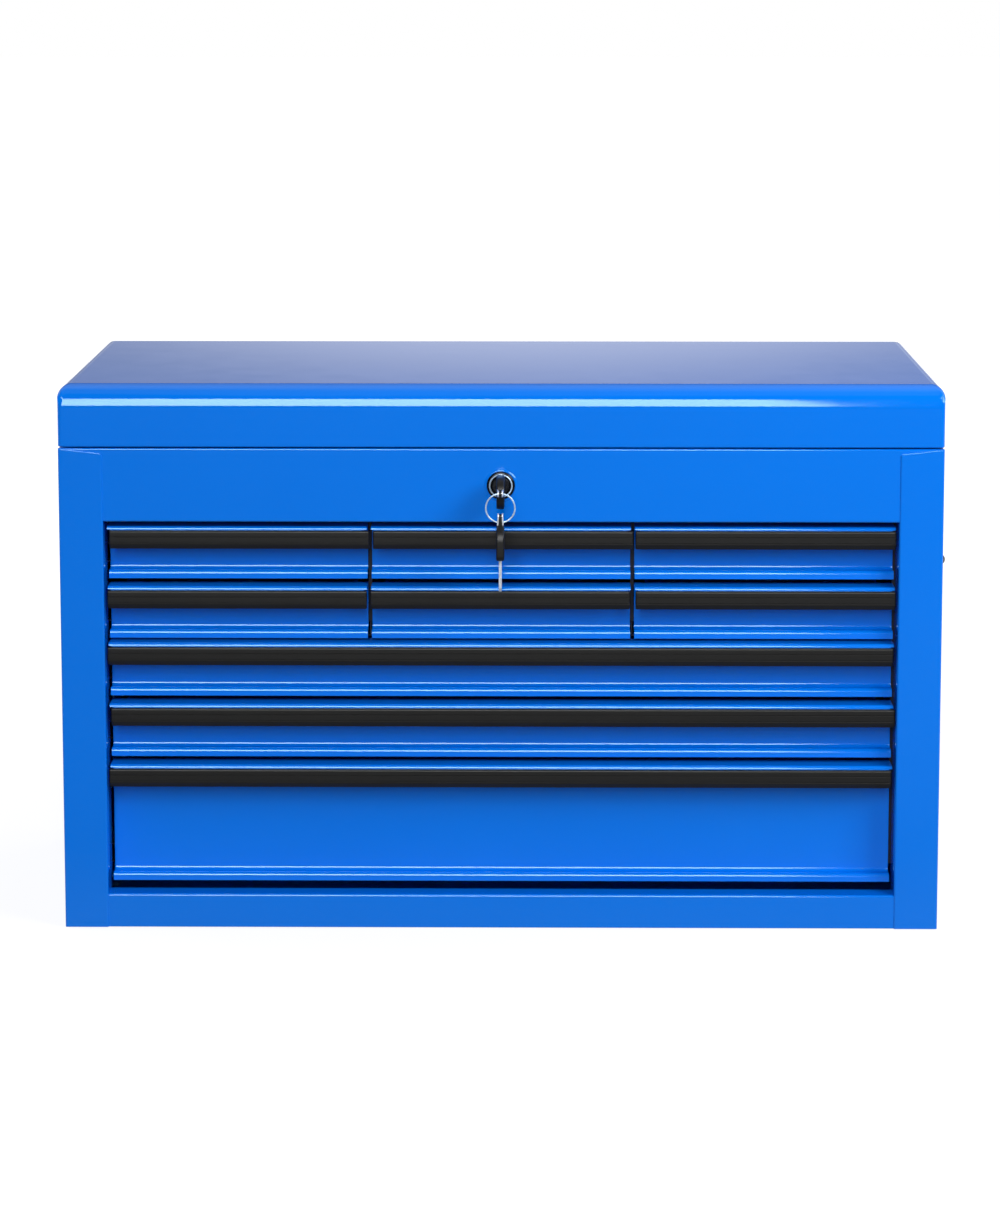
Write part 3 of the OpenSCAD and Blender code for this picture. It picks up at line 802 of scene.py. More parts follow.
@dataclass
class Cabinet(SubAssembly):
    """The fixed shell: two folded side panels and two rails, over the plain plates inside."""

    back_y: float = 152.5
    height: float = 366.5
    sheet: float = 1.0
    open_x: float = 297.0
    open_low: float = 25.6
    open_top: float = 311.0
    rear_flange: float = 13.0
    post_return: float = 26.0
    post_fall: float = 3.4
    post_corner: float = 3.0
    rim: float = 8.0
    ledge: float = 18.0
    bend: float = 1.6
    rim_bend: float = 1.2
    lock_hole_r: float = 9.0
    lock_rim: Sequence[Corner] = (
        (10.7, 0.3), (10.7, -0.3), (10.9, -0.55), (11.3, -0.6),
        (11.8, -0.35), (12.3, 0), (12.3, 0.3), (10.7, 0.3),
    )

    def side_panel(self) -> Piece:
        """The right side: rear flange, wall, front post and the post's return, folded from one sheet."""
        plan = [
            (SIDE_X - self.rear_flange, self.back_y),
            (SIDE_X, self.back_y),
            (SIDE_X, FRONT_Y),
            (self.open_x, FRONT_Y),
            (self.open_x, FRONT_Y + self.post_return),
        ]
        panel = fold("side_panel_right", plan, [self.bend] * 3, 0, self.height)
        turn_upright(panel)
        with editing(panel):
            self.notch_return(panel)
            self.slope_post(panel)
            self.turn_rim(panel)
        thicken(panel, self.sheet)
        with editing(panel):
            bevel(panel, (self.on_slope, 0.8, 4))
        return finish_edges(panel, 0.4, 3)

    def notch_return(self, panel: Piece) -> None:
        """Cuts the post's return away where the rails pass behind the post."""
        for height in (self.open_low, self.open_top):
            pick(panel, FACE, self.on_return)
            bpy.ops.mesh.bisect(plane_co=metres(0, 0, height), plane_no=(0, 0, 1))
        low, high = self.open_low, self.open_top
        pick(panel, FACE, lambda p, n: self.on_return(p, n) and not low < p.z < high)
        bpy.ops.mesh.delete(type="FACE")

    def slope_post(self, panel: Piece) -> None:
        """Lets the post's upper edge fall towards the opening and rounds its corner."""
        run = SIDE_X - self.open_x - self.post_corner
        cuts = [(Vector((SIDE_X, 0, self.height)), Vector((-self.post_fall, 0, run)))]
        middle = Vector((self.open_x + self.post_corner, 0, self.height - self.post_fall - self.post_corner))
        for angle in range(105, 180, 15):
            out = Vector((math.cos(math.radians(angle)), 0, math.sin(math.radians(angle))))
            cuts.append((middle + out * self.post_corner, out))
        for spot, out in cuts:
            pick(panel, FACE, lambda p, n: p.y < FRONT_Y + 2 * self.bend and p.x < SIDE_X - NEAR)
            bpy.ops.mesh.bisect(plane_co=spot * MM, plane_no=out.normalized(), clear_outer=True)

    def turn_rim(self, panel: Piece) -> None:
        """Turns the wall's upper edge inwards under the lid."""
        pick(panel, EDGE, self.on_top)
        extrude(EDGE, -self.rim - self.sheet, 0, 0)
        bevel(panel, (self.on_top, self.rim_bend, 4))

    def on_return(self, spot: Vector, _: Vector) -> bool:
        """Whether a place is on the post's return."""
        return spot.x < self.open_x + 0.1 and spot.y > FRONT_Y + self.bend

    def on_top(self, spot: Vector, way: Vector) -> bool:
        """Whether an edge is the upper edge of the side's wall."""
        return spot.z > self.height - NEAR and spot.x > SIDE_X - NEAR and abs(way.y) > ALONG

    def on_slope(self, spot: Vector, _: Vector) -> bool:
        """Whether an edge is the outer one of the post's sloped top."""
        along = self.open_x + self.bend < spot.x < SIDE_X - self.bend
        high = spot.z > self.height - self.post_fall - self.post_corner
        return along and high and abs(spot.y - FRONT_Y) < NEAR

    def top_rail(self) -> Piece:
        """The rail over the drawers, with a ledge at the opening, a rim and the lock's hole."""
        y, end = FRONT_Y + self.sheet, SIDE_X - self.sheet
        section = [(y + self.ledge, self.open_top), (y, self.open_top), (y, self.height)]
        section.append((y + self.rim + self.sheet, self.height))
        rail = fold("top_rail", section, (self.bend, self.rim_bend), -end, end)
        thicken(rail, self.sheet)
        bore(rail, (0, y, LOCK_Z), Axis.Y, self.lock_hole_r, 8)
        rim = lathe("rim", self.lock_rim, (0, y, LOCK_Z))
        return join("top_rail", [finish_edges(rail, 0.3), finish_edges(rim)])

    def bottom_rail(self) -> Piece:
        """The rail under the drawers, turned back at the top of its face."""
        y, end = FRONT_Y + self.sheet, SIDE_X - self.sheet
        section = [(y, 0), (y, self.open_low), (y + self.ledge, self.open_low)]
        rail = fold("bottom_rail", section, [self.bend], -end, end)
        thicken(rail, self.sheet)
        return finish_edges(rail, 0.3)

    def build(self) -> None:
        """Makes and hangs the shell."""
        right = self.fit(self.side_panel(), Finish.BLUE, "cabinet", "side_panel_right")
        self.fit(mirrored(right, "side_panel_left"), Finish.BLUE, "cabinet", "side_panel_left")
        self.fit(self.top_rail(), Finish.BLUE, "cabinet", "top_rail")
        self.fit(self.bottom_rail(), Finish.BLUE, "cabinet", "bottom_rail")
        for node in ("back_panel", "bottom_panel", "till_floor"):
            self.fit(soften(node, f"{node}_sheet", 0.2), Finish.BLUE, "cabinet", node)
        # The deck, dividers and rails get dark paint as painted shade for the gaps between the drawers.
        self.keep(Finish.SLIDE, "drawer_deck", "dividers", "cabinet_rails")
        self.keep(Finish.ZINC, "cabinet_fasteners")


@dataclass
class Lid(SubAssembly):
    """The pressed lid with its turned rim, its hinge and its strike."""

    low: float = 367.5
    top: float = 413.5
    front_round: float = 17.0
    side_round: float = 9.0
    corner_round: float = 3.0
    rim: float = 8.0
    rim_bend: float = 1.2
    sheet: float = 1.0

    def shell(self) -> Piece:
        """The lid: an open box with unequal rounded edges and a rim turned inwards."""
        shell = block("lid", (-SIDE_X, FRONT_Y, self.low), (SIDE_X, -FRONT_Y, self.top))
        rounds = (
            (self.side_round, lambda p, d: p.z > self.top - NEAR and p.y > FRONT_Y + NEAR),
            (self.corner_round, lambda p, d: abs(d.z) > ALONG),
            (self.front_round, lambda p, d: p.z > self.top - NEAR and p.y < FRONT_Y + NEAR),
        )
        with editing(shell):
            pick(shell, FACE, lambda p, n: n.z < -ALONG)
            bpy.ops.mesh.delete(type="FACE")
            for radius, test in rounds:
                pick(shell, EDGE, test)
                bpy.ops.transform.edge_bevelweight(value=radius / self.front_round)
        width = self.front_round * MM
        modify(shell, "BEVEL", limit_method="WEIGHT", width=width, segments=9, use_clamp_overlap=False)
        with editing(shell):
            pick(shell, EDGE, lambda p, d: p.z < self.low + NEAR)
            turn_in(2 * SIDE_X, -2 * FRONT_Y, self.rim, (0, 0, self.low))
            bevel(shell, (self.on_foot, self.rim_bend, 4))
        thicken(shell, self.sheet)
        return finish_edges(shell, 0.15, 1, 50)

    def on_foot(self, spot: Vector, way: Vector) -> bool:
        """Whether an edge is where the lid's walls turn into its rim."""
        outside = abs(spot.x) > SIDE_X - 2 or abs(spot.y) > -FRONT_Y - 2
        return outside and spot.z < self.low + NEAR and abs(way.z) < 0.1

    def build(self) -> None:
        """Makes and hangs the lid."""
        shell = self.fit(self.shell(), Finish.BLUE, "lid", "lid_shell")
        self.line(shell, Finish.BLUE_INSIDE, lambda p, n: n.z < -0.3 or n.x * p.x + n.y * p.y < -1)
        self.keep(Finish.ZINC, "hinge_lower_leaf", "hinge_upper_leaf", "hinge_pin")
        self.keep(Finish.ZINC, "lid_strike", "lid_fasteners")


# ---------- Drawers ----------


@dataclass(frozen=True)
class Bay:
    """Where a drawer hangs.

    Attributes:
        name: the drawer's name in its nodes.
        x: the middle of its front.
        slip: how far its pull sits off that middle.
    """

    name: str
    x: float
    slip: float


@dataclass
class Drawers(SubAssembly):
    """All the drawers of one size, with their pulls.

    Attributes:
        half_width: half the front's width.
        height: the front's height.
        rows: for each row, its lower edge and its drawers.
        chamfer: how deep and how high the pull's lower edge is cut off.
        groove_half: half a groove's width, at its mouth and at its floor.
    """

    half_width: float
    height: float
    rows: Sequence[tuple[float, Sequence[Bay]]]
    sheet: float = 0.8
    lip_in: float = 17.0
    lip_h: float = 6.4
    panel_in: float = 28.0
    flare_top: float = 5.7
    shelf_in: float = 6.6
    shelf_drop: float = 12.0
    bends: Sequence[float] = (2.8, 2.8, 1.0, 1.6)
    relief: float = 2.4
    box_rear: float = 146.0
    wall_in: float = 9.0
    box_up: float = 7.5
    box_down: float = 4.0
    corner_bend: float = 2.0
    foot_bend: float = 1.4
    hem: float = 6.0
    hem_gap: float = 0.15
    pull_in: float = 4.0
    pull_top: float = -2.8
    pull_low: float = -16.8
    pull_rear: float = 8.7
    pull_leg: float = -6.0
    pull_end: float = 1.0
    clip_gap: float = 0.1
    chamfer: Corner = (2.3, 3.4)
    groove_deep: float = 0.25
    groove_half: Corner = (0.5, 0.2)

    def panel(self) -> Piece:
        """The front: lip, flare, panel, shelf and the edge that carries the pull, from one sheet."""
        lip_y, panel_y = FRONT_Y + self.lip_in, FRONT_Y + self.panel_in
        edge_y = FRONT_Y + self.shelf_in + self.sheet
        under = self.height - self.sheet
        section = [
            (lip_y, 0),
            (lip_y, self.lip_h),
            (panel_y, self.flare_top),
            (panel_y, under),
            (edge_y, under),
            (edge_y, self.height - self.shelf_drop),
        ]
        piece = fold("panel", section, self.bends, -self.half_width, self.half_width, 7)
        trim = self.half_width - self.relief

        def hangs(spot: Vector, _: Vector) -> bool:
            """Whether a place is on the edge that carries the pull."""
            return spot.y < edge_y + NEAR and spot.z < under - 1.7

        with editing(piece):
            for way in (-1, 1):
                pick(piece, FACE, hangs)
                bpy.ops.mesh.bisect(plane_co=metres(way * trim, 0, 0), plane_no=(1, 0, 0))
            pick(piece, FACE, lambda p, n: hangs(p, n) and abs(p.x) > trim)
            bpy.ops.mesh.delete(type="FACE")
        thicken(piece, self.sheet)
        return finish_edges(piece, 0.2)

    def box(self) -> Piece:
        """The open box behind the front, with rounded corners and a hem folded in along its rim."""
        half = self.half_width - self.wall_in
        front, low = FRONT_Y + self.panel_in + self.sheet, self.box_up
        high = self.height - self.box_down
        piece = block("box", (-half, front, low), (half, self.box_rear, high))
        hem_in = 2 * self.sheet + self.hem_gap
        reach = hem_in + 0.1

        def at_corner(spot: Vector, way: Vector) -> bool:
            """Whether an edge is one of those at the box's four upright corners."""
            ends = spot.y > self.box_rear - reach or spot.y < front + reach
            across = abs(way.z) > ALONG or (abs(way.x) > 0.3 and abs(way.y) > 0.3)
            return abs(spot.x) > half - reach and ends and across

        with editing(piece):
            pick(piece, FACE, lambda p, n: n.z > ALONG)
            bpy.ops.mesh.delete(type="FACE")
            pick(piece, EDGE, lambda p, d: p.z > high - NEAR)
            turn_in(2 * half, self.box_rear - front, hem_in, (0, (front + self.box_rear) / 2, high))
            extrude(EDGE, 0, 0, -self.hem)
            bevel(piece, (at_corner, self.corner_bend, 3), (lambda p, d: p.z < low + NEAR, self.foot_bend, 3))
        thicken(piece, self.sheet)
        return finish_edges(piece, 0.12, 1, 50)

    def pull(self) -> Piece:
        """The moulded pull: a grooved face that clips round the front's turned-down edge."""
        face, rear, top, low = self.pull_in, self.pull_rear, self.pull_top, self.pull_low
        clip_front, clip_rear = self.shelf_in - self.clip_gap, self.shelf_in + self.sheet + self.clip_gap
        mouth, floor = self.groove_half
        outline = [(face, top)]
        for share in (1 / 3, 2 / 3):
            z = top - share * (top - low)
            for out, up in ((0, mouth), (self.groove_deep, floor), (self.groove_deep, -floor), (0, -mouth)):
                outline.append((face + out, z + up))
        deep, high = self.chamfer
        outline += [(face, low + high), (face + deep, low), (rear, low), (rear, self.pull_leg)]
        outline += [(clip_rear, self.pull_leg), (clip_rear, -self.shelf_drop)]
        outline += [(clip_front, -self.shelf_drop), (clip_front, top)]
        outline = [(FRONT_Y + y, self.height + z) for y, z in outline]
        half = self.half_width - self.pull_end
        piece = prism("pull", outline, half)
        rounds = ((0, 1.4), (9, 0.4), (10, 0.4), (11, 0.5))
        with editing(piece):
            bevel(piece, *((seam(outline[number]), offset, 5) for number, offset in rounds))
            for way in (-1, 1):
                self.dome_end(piece, way * half)
        return finish_edges(piece)

    def dome_end(self, piece: Piece, end: float, steps: int = 3) -> None:
        """Lengthens the pull at one end with a rounded shoulder, in edit mode.

        Args:
            piece: the pull.
            end: where its flat end is on X, in millimetres.
            steps: the number of faces across the shoulder.
        """
        deep, high = (self.pull_in + self.pull_rear) / 2, (self.pull_top + self.pull_low) / 2
        middle = (end, FRONT_Y + deep, self.height + high)
        size = (self.pull_rear - self.pull_in, self.pull_top - self.pull_low)
        pick(piece, FACE, lambda p, n: abs(p.x - end) < NEAR and abs(n.x) > ALONG)
        reached, kept = 0.0, [1.0, 1.0]
        for step in range(1, steps + 1):
            turn = math.pi / 2 * step / steps
            reach, shrink = self.pull_end * math.sin(turn), self.pull_end * (1 - math.cos(turn))
            now = [(side - 2 * shrink) / side for side in size]
            extrude(FACE, math.copysign(reach - reached, end), 0, 0)
            value = (1, now[0] / kept[0], now[1] / kept[1])
            bpy.ops.transform.resize(value=value, center_override=metres(*middle))
            reached, kept = reach, now

    def build(self) -> None:
        """Models one drawer and hangs a copy of it in each bay."""
        forms = {"panel": self.panel(), "box": self.box(), "pull": self.pull()}
        for base, bays in self.rows:
            for bay in bays:
                for form, piece in forms.items():
                    twin = duplicate(piece, f"drawer_{form}_{bay.name}")
                    pull = form == "pull"
                    seat(twin, (0, 0, 0), (bay.x + bay.slip * pull, 0, base))
                    finish, node = (Finish.PLASTIC, "pull") if pull else (Finish.BLUE, "tray")
                    self.fit(twin, finish, f"drawer_{bay.name}", f"{node}_{bay.name}")
                # The runners get dark paint as painted shade for the gaps beside the drawers.
                self.keep(Finish.SLIDE, f"runners_{bay.name}")
        for piece in forms.values():
            bpy.data.objects.remove(piece)


# ---------- Lock and keys ----------


@dataclass
class Lock(SubAssembly):
    """The cylinder lock: its barrel with a domed collar and a polished bead, its plug, and the works behind.

    Attributes:
        collar, bead, plug: outlines as (radius, distance behind the rail's front).
        keyway: half the keyway's width and half its height.
        keyway_l: how far it goes in.
    """

    rail_y: float = FRONT_Y + 1
    collar: Sequence[Corner] = (
        (6.56, -0.7), (7.06, -1.2), (8.9, -1.2), (9.5, -1.1),
        (10.1, -0.8), (10.4, -0.45), (10.5, -0.1), (10.5, 0),
    )
    bead: Sequence[Corner] = (
        (7.8, -0.9), (7.8, -1.3), (8.0, -1.55), (8.3, -1.65),
        (8.6, -1.55), (8.8, -1.3), (8.8, -0.9), (7.8, -0.9),
    )
    plug: Sequence[Corner] = (
        (0, -1.2), (6.0, -1.2), (6.5, -0.8), (6.5, 23), (3.5, 23), (3.5, 25.5), (0, 25.5),
    )
    barrel_r: float = 9.0
    barrel_l: float = 21.0
    keyway: Corner = (1.2, 4.3)
    keyway_l: float = 17.0

    def build(self) -> None:
        """Makes and hangs the lock."""
        middle = (0, self.rail_y, LOCK_Z)
        inside = (self.collar[0][0], self.barrel_l)
        outline = [inside, *self.collar, (self.barrel_r, 0), (self.barrel_r, self.barrel_l), inside]
        barrel = finish_edges(lathe("lock_barrel_turned", outline, middle))
        # The collar's dark chrome is a painted reflection of the dim surroundings.
        self.fit(barrel, Finish.SMOKED, "cabinet", "lock_barrel")
        bead = finish_edges(lathe("lock_bead", self.bead, middle))
        # The bead's pale blue tint is a painted reflection of the blue paint round it.
        self.fit(bead, Finish.NICKEL, "cabinet", "lock_barrel")
        plug = lathe("lock_plug_turned", self.plug, middle)
        wide, high = self.keyway
        near, far = self.rail_y - 2, self.rail_y + self.keyway_l
        cut(plug, block("slot", (-wide, near, LOCK_Z - high), (wide, far, LOCK_Z + high)))
        self.fit(finish_edges(plug), Finish.SMOKED_ZINC, "lock", "lock_plug")
        self.keep(Finish.ZINC, "lock_cam")
        # The lock bar gets dark paint as painted shade for the gaps between the drawers.
        self.keep(Finish.SLIDE, "lock_bar")


@dataclass
class Keys(SubAssembly):
    """Two keys on a split ring: one in the lock, one that hangs.

    Attributes:
        recess_in, recess_deep: how far the bow's panel stands in from its edge, and how deep it lies.
        eye_r: the radius of the holes that the ring passes through.
        eye_low: how far their middle is below the bow.
        foot_h: how much of a tongue or lug leans with its foot.
        tip_back: how far the blade's back falls towards its tip, and over what length.
        tip_chin: how far its other edge stands back at the tip.
        cuts: the depths of the blade's cuts, from its tip.
        first_cut: how far the first one's middle is from the tip.
        cut_half: half a cut's width, at its mouth and at its floor.
        lug_lean: how far the lugs' feet lean towards each other.
    """

    bow_w: float = 24.0
    bow_l: float = 26.0
    bow_t: float = 5.8
    bow_shoulder: float = 4.0
    bow_edge: float = 1.1
    recess_in: float = 3.0
    recess_deep: float = 0.4
    tongue_half: float = 2.2
    tongue_l: float = 7.6
    tongue_round: float = 2.1
    eye_r: float = 1.6
    eye_low: float = 0.8
    foot_h: float = 2.3
    blade_t: float = 2.2
    blade_h: float = 7.8
    blade_l: float = 24.0
    blade_sunk: float = 1.0
    tip_back: Corner = (2.4, 3.0)
    tip_chin: float = 2.2
    cuts: Sequence[float] = (0.9, 1.9, 1.1, 2.3, 1.5)
    first_cut: float = 3.2
    cut_pitch: float = 3.6
    cut_half: Corner = (1.2, 0.45)
    groove_deep: float = 0.6
    groove_z: float = 2.0
    lug_in: float = 1.5
    lug_out: float = 2.6
    lug_half: float = 2.4
    lug_l: float = 8.3
    lug_round: float = 2.2
    lug_lean: float = 0.5
    ring_r: float = 10.7
    bow_y: float = -161.5
    ring_y: float = -188.3
    spare_z: float = 289.45

    def bow(self, drop: float) -> Piece:
        """The moulded bow with its tongue, and a shallow panel on both faces.

        Args:
            drop: how far its middle is off the blade's.

        Returns:
            The bow, its shoulder on Z = 0 and the rest below.
        """
        half = self.bow_w / 2
        end = half - self.bow_l
        turns = (-math.pi * step / 24 for step in range(25))
        outline = [(drop - half, 0.0), (drop + half, 0.0)]
        outline += [(drop + half * math.cos(turn), end + half * math.sin(turn)) for turn in turns]
        bow = prism("bow", outline, self.bow_t / 2)
        with editing(bow):
            bevel(bow, (lambda p, d: abs(d.x) > ALONG and abs(p.z) < NEAR, self.bow_shoulder, 5))
            bevel(bow, (lambda p, d: abs(d.x) < 0.1, self.bow_edge, 4))
            pick(bow, FACE, lambda p, n: abs(n.x) > 0.999 and abs(abs(p.x) - self.bow_t / 2) < NEAR)
            bpy.ops.mesh.inset(thickness=self.recess_in * MM, use_individual=True)
            step = self.recess_deep * MM
            bpy.ops.mesh.inset(thickness=step, depth=-step, use_individual=True)
        foot, deep = -self.bow_l - self.tongue_l, self.tongue_half
        tongue = block("tongue", (-self.lug_in, -deep, foot), (self.lug_in, deep, 1 - self.bow_l))
        self.pierce(tongue, foot, self.tongue_round)
        return join("bow", [finish_edges(bow), finish_edges(tongue)])

    def pierce(self, piece: Piece, foot: float, offset: float, lean: float = 0.0) -> None:
        """Rounds the foot of a tongue or lug, leans it and bores the ring's eye through it.

        Args:
            piece: the block.
            foot: its lowest height, in millimetres.
            offset: the bevel's offset.
            lean: how far the foot goes along X.
        """
        with editing(piece):
            bevel(piece, (lambda p, d: abs(d.x) > ALONG and p.z < foot + NEAR, offset, 5))
            pick(piece, VERT, lambda p, n: p.z < foot + self.foot_h)
            bpy.ops.transform.translate(value=metres(lean, 0, 0))
        bore(piece, (0, 0, -self.bow_l - self.eye_low), Axis.X, self.eye_r, 8, 24)

    def blade(self) -> Piece:
        """The blade with its cuts and the groove along both faces."""
        half, tip = self.blade_h / 2, self.blade_l
        fall, slope = self.tip_back
        mouth, floor = self.cut_half
        outline = [(half, -self.blade_sunk), (half, tip - slope)]
        outline += [(half - fall, tip), (-half + self.tip_chin, tip)]
        for number, depth in enumerate(self.cuts):
            z = tip - self.first_cut - self.cut_pitch * number
            outline += [(-half, z + mouth), (-half + depth, z + floor)]
            outline += [(-half + depth, z - floor), (-half, z - mouth)]
        outline.append((-half, -self.blade_sunk))
        blade = prism("blade", outline, self.blade_t / 2)
        for way in (-1, 1):
            x, deep = way * self.blade_t / 2, self.groove_deep
            cut(blade, block("groove", (x - deep, -deep, self.groove_z), (x + deep, 2 * deep, tip + 1)))
        return finish_edges(blade, 0.3)

    def lugs(self) -> Piece:
        """The two steel lugs on the bow's end that the ring passes through."""
        low, high = -self.bow_l - self.lug_l, -self.bow_l + 2
        lugs = []
        for way in (-1, 1):
            near, far = sorted((way * self.lug_in, way * self.lug_out))
            lug = block("lug", (near, -self.lug_half, low), (far, self.lug_half, high))
            self.pierce(lug, low, self.lug_round, -self.lug_lean * way)
            lugs.append(finish_edges(lug, 0.35, 3))
        return join("lugs", lugs)

    def ring(self) -> Piece:
        """The split ring: two turns of wire side by side."""
        wide, flat, apart = 0.56, 0.33, 0.31
        outline = []
        for height, first in ((apart, -60), (-apart, 120)):
            for angle in range(first, first + 301, 30):
                turn = math.radians(angle)
                outline.append((self.ring_r + wide * math.cos(turn), height + flat * math.sin(turn)))
        middle = (0, self.ring_y, LOCK_Z - 0.55 - self.ring_r)
        return finish_edges(lathe("key_ring_split", [*outline, outline[0]], middle))

    def build(self) -> None:
        """Makes the ring and both keys, and hangs them."""
        lock = ((-math.pi / 2, 0, 0), (0, self.bow_y, LOCK_Z))
        ring = ((math.pi, 0, 0), (0, self.ring_y, self.spare_z))
        for key, drop, (turn, spot) in (("key", 2.0, lock), ("spare_key", 0.0, ring)):
            parts = {"bow": self.bow(drop), "blade": self.blade(), "lugs": self.lugs()}
            for part, piece in parts.items():
                piece.name = piece.data.name = f"{key}_{part}"
                seat(piece, turn, spot)
                # The steel parts' pale blue tint is a painted reflection of the blue paint.
                self.fit(piece, Finish.PLASTIC if part == "bow" else Finish.KEY_STEEL, key, key)
        self.fit(self.ring(), Finish.NICKEL, "key_ring", "key_ring")


# ---------- Side handles and struts ----------


@dataclass
class Handles(SubAssembly):
    """The two drop handles with their stamped brackets, and the lid's struts.

    Attributes:
        plain: the length without ribs at either end of a grip.
        rib_deep: the depth of the grooves between the ribs.
        plate_half: half a bracket's length and half its height.
        saddle_half: the same of its saddle.
        saddle_out: how far the saddle goes past the bail's middle.
        edge_round: the radius of their outer edges.
    """

    axis_x: float = 336.5
    pivot_z: float = 270.0
    drop: float = 44.0
    grip_r: float = 5.4
    grip_half: float = 41.0
    ribs: int = 16
    plain: float = 3.0
    rib_deep: float = 0.5
    bracket_y: float = 68.0
    bore_r: float = 3.06
    plate_t: float = 1.2
    plate_half: Corner = (13.0, 15.0)
    plate_corner: float = 4.0
    saddle_half: Corner = (7.0, 4.2)
    saddle_round: float = 4.1
    saddle_out: float = 3.9
    edge_round: float = 0.5

    def grip(self) -> Piece:
        """The moulded sleeve on the bail, ribbed for the fingers."""
        half, outer = self.grip_half, self.grip_r
        end = ((3.05, 1.5), (4.3, 1.5), (4.75, 1.1), (4.8, 0), (outer - 0.3, -0.1), (outer, -0.6))
        outline = [(radius, -half - out) for radius, out in end]
        pitch = (2 * half - 2 * self.plain) / self.ribs
        for rib in range(self.ribs):
            start = -half + self.plain + rib * pitch
            for depth, share in ((0, 0.25), (self.rib_deep, 0.4), (self.rib_deep, 0.6), (0, 0.75)):
                outline.append((outer - depth, start + share * pitch))
        outline += [(radius, half + out) for radius, out in reversed(end)]
        middle = (self.axis_x, 0, self.pivot_z - self.drop)
        return finish_edges(lathe("handle_grip_ribbed_right", [*outline, outline[0]], middle, 40))

    def bracket(self, name: str, y: float) -> Piece:
        """One stamped bracket: a plate with rounded corners and a saddle over the bail's end.

        Args:
            name: the bracket's name.
            y: its middle.

        Returns:
            The bracket.
        """
        x, z = SIDE_X, self.pivot_z
        face = x + self.plate_t
        half, up = self.plate_half
        plate = block("plate", (x, y - half, z - up), (face, y + half, z + up))
        with editing(plate):
            bevel(plate, (lambda p, d: abs(d.x) > ALONG, self.plate_corner, 5))
            bevel(plate, (lambda p, d: p.x > face - NEAR, self.edge_round, 2))
        end, up = self.saddle_half
        saddle = block("saddle", (x, y - end, z - up), (self.axis_x + self.saddle_out, y + end, z + up))
        with editing(saddle):
            bevel(saddle, (lambda p, d: abs(d.y) > ALONG and p.x > x + 1, self.saddle_round, 10))
            bevel(saddle, (lambda p, d: abs(abs(p.y - y) - end) < NEAR and p.x > x + 0.6, self.edge_round, 2))
        bracket = join(name, [plate, saddle])
        bore(bracket, (self.axis_x, y, z), Axis.Y, self.bore_r, 20)
        return finish_edges(bracket)

    def build(self) -> None:
        """Makes the right-hand pieces, mirrors them and hangs both sides."""
        grip = self.grip()
        self.fit(mirrored(grip, "handle_grip_ribbed_left"), Finish.PLASTIC, "handle_left", "handle_grip_left")
        self.fit(grip, Finish.PLASTIC, "handle_right", "handle_grip_right")
        for y, spot in ((-self.bracket_y, "front"), (self.bracket_y, "rear")):
            bracket = self.bracket(f"handle_bracket_{spot}_right", y)
            for piece in (bracket, mirrored(bracket, f"handle_bracket_{spot}_left")):
                self.fit(piece, Finish.BLACK, "cabinet", "handle_brackets")
        self.keep(Finish.CHROME, "handle_bail_left", "handle_bail_right", "strut_rod_left", "strut_rod_right")
        self.keep(Finish.BLACK, "strut_tube_left", "strut_tube_right")


# ---------- Studio ----------


@dataclass(frozen=True)
class Softbox:
    """One soft lamp.

    Attributes:
        name: the lamp's name.
        spot: where it hangs, in metres.
        aim: what it looks at.
        size: its width and height.
        radiance: its brightness.
        mirrored: whether gloss shows it.
    """

    name: str
    spot: Point
    aim: Point
    size: Corner
    radiance: float
    mirrored: bool = True

    def hang(self) -> None:
        """Adds the lamp, unseen by the camera."""
        deselect()
        bpy.ops.object.light_add(type="AREA", location=self.spot)
        lamp = named(self.name)
        lamp.data.shape = "RECTANGLE"
        lamp.data.size, lamp.data.size_y = self.size
        lamp.data.energy = 4 * self.size[0] * self.size[1] * self.radiance
        lamp.rotation_euler = (Vector(self.aim) - Vector(self.spot)).to_track_quat("-Z", "Y").to_euler()
        lamp.visible_camera = False
        lamp.visible_glossy = self.mirrored


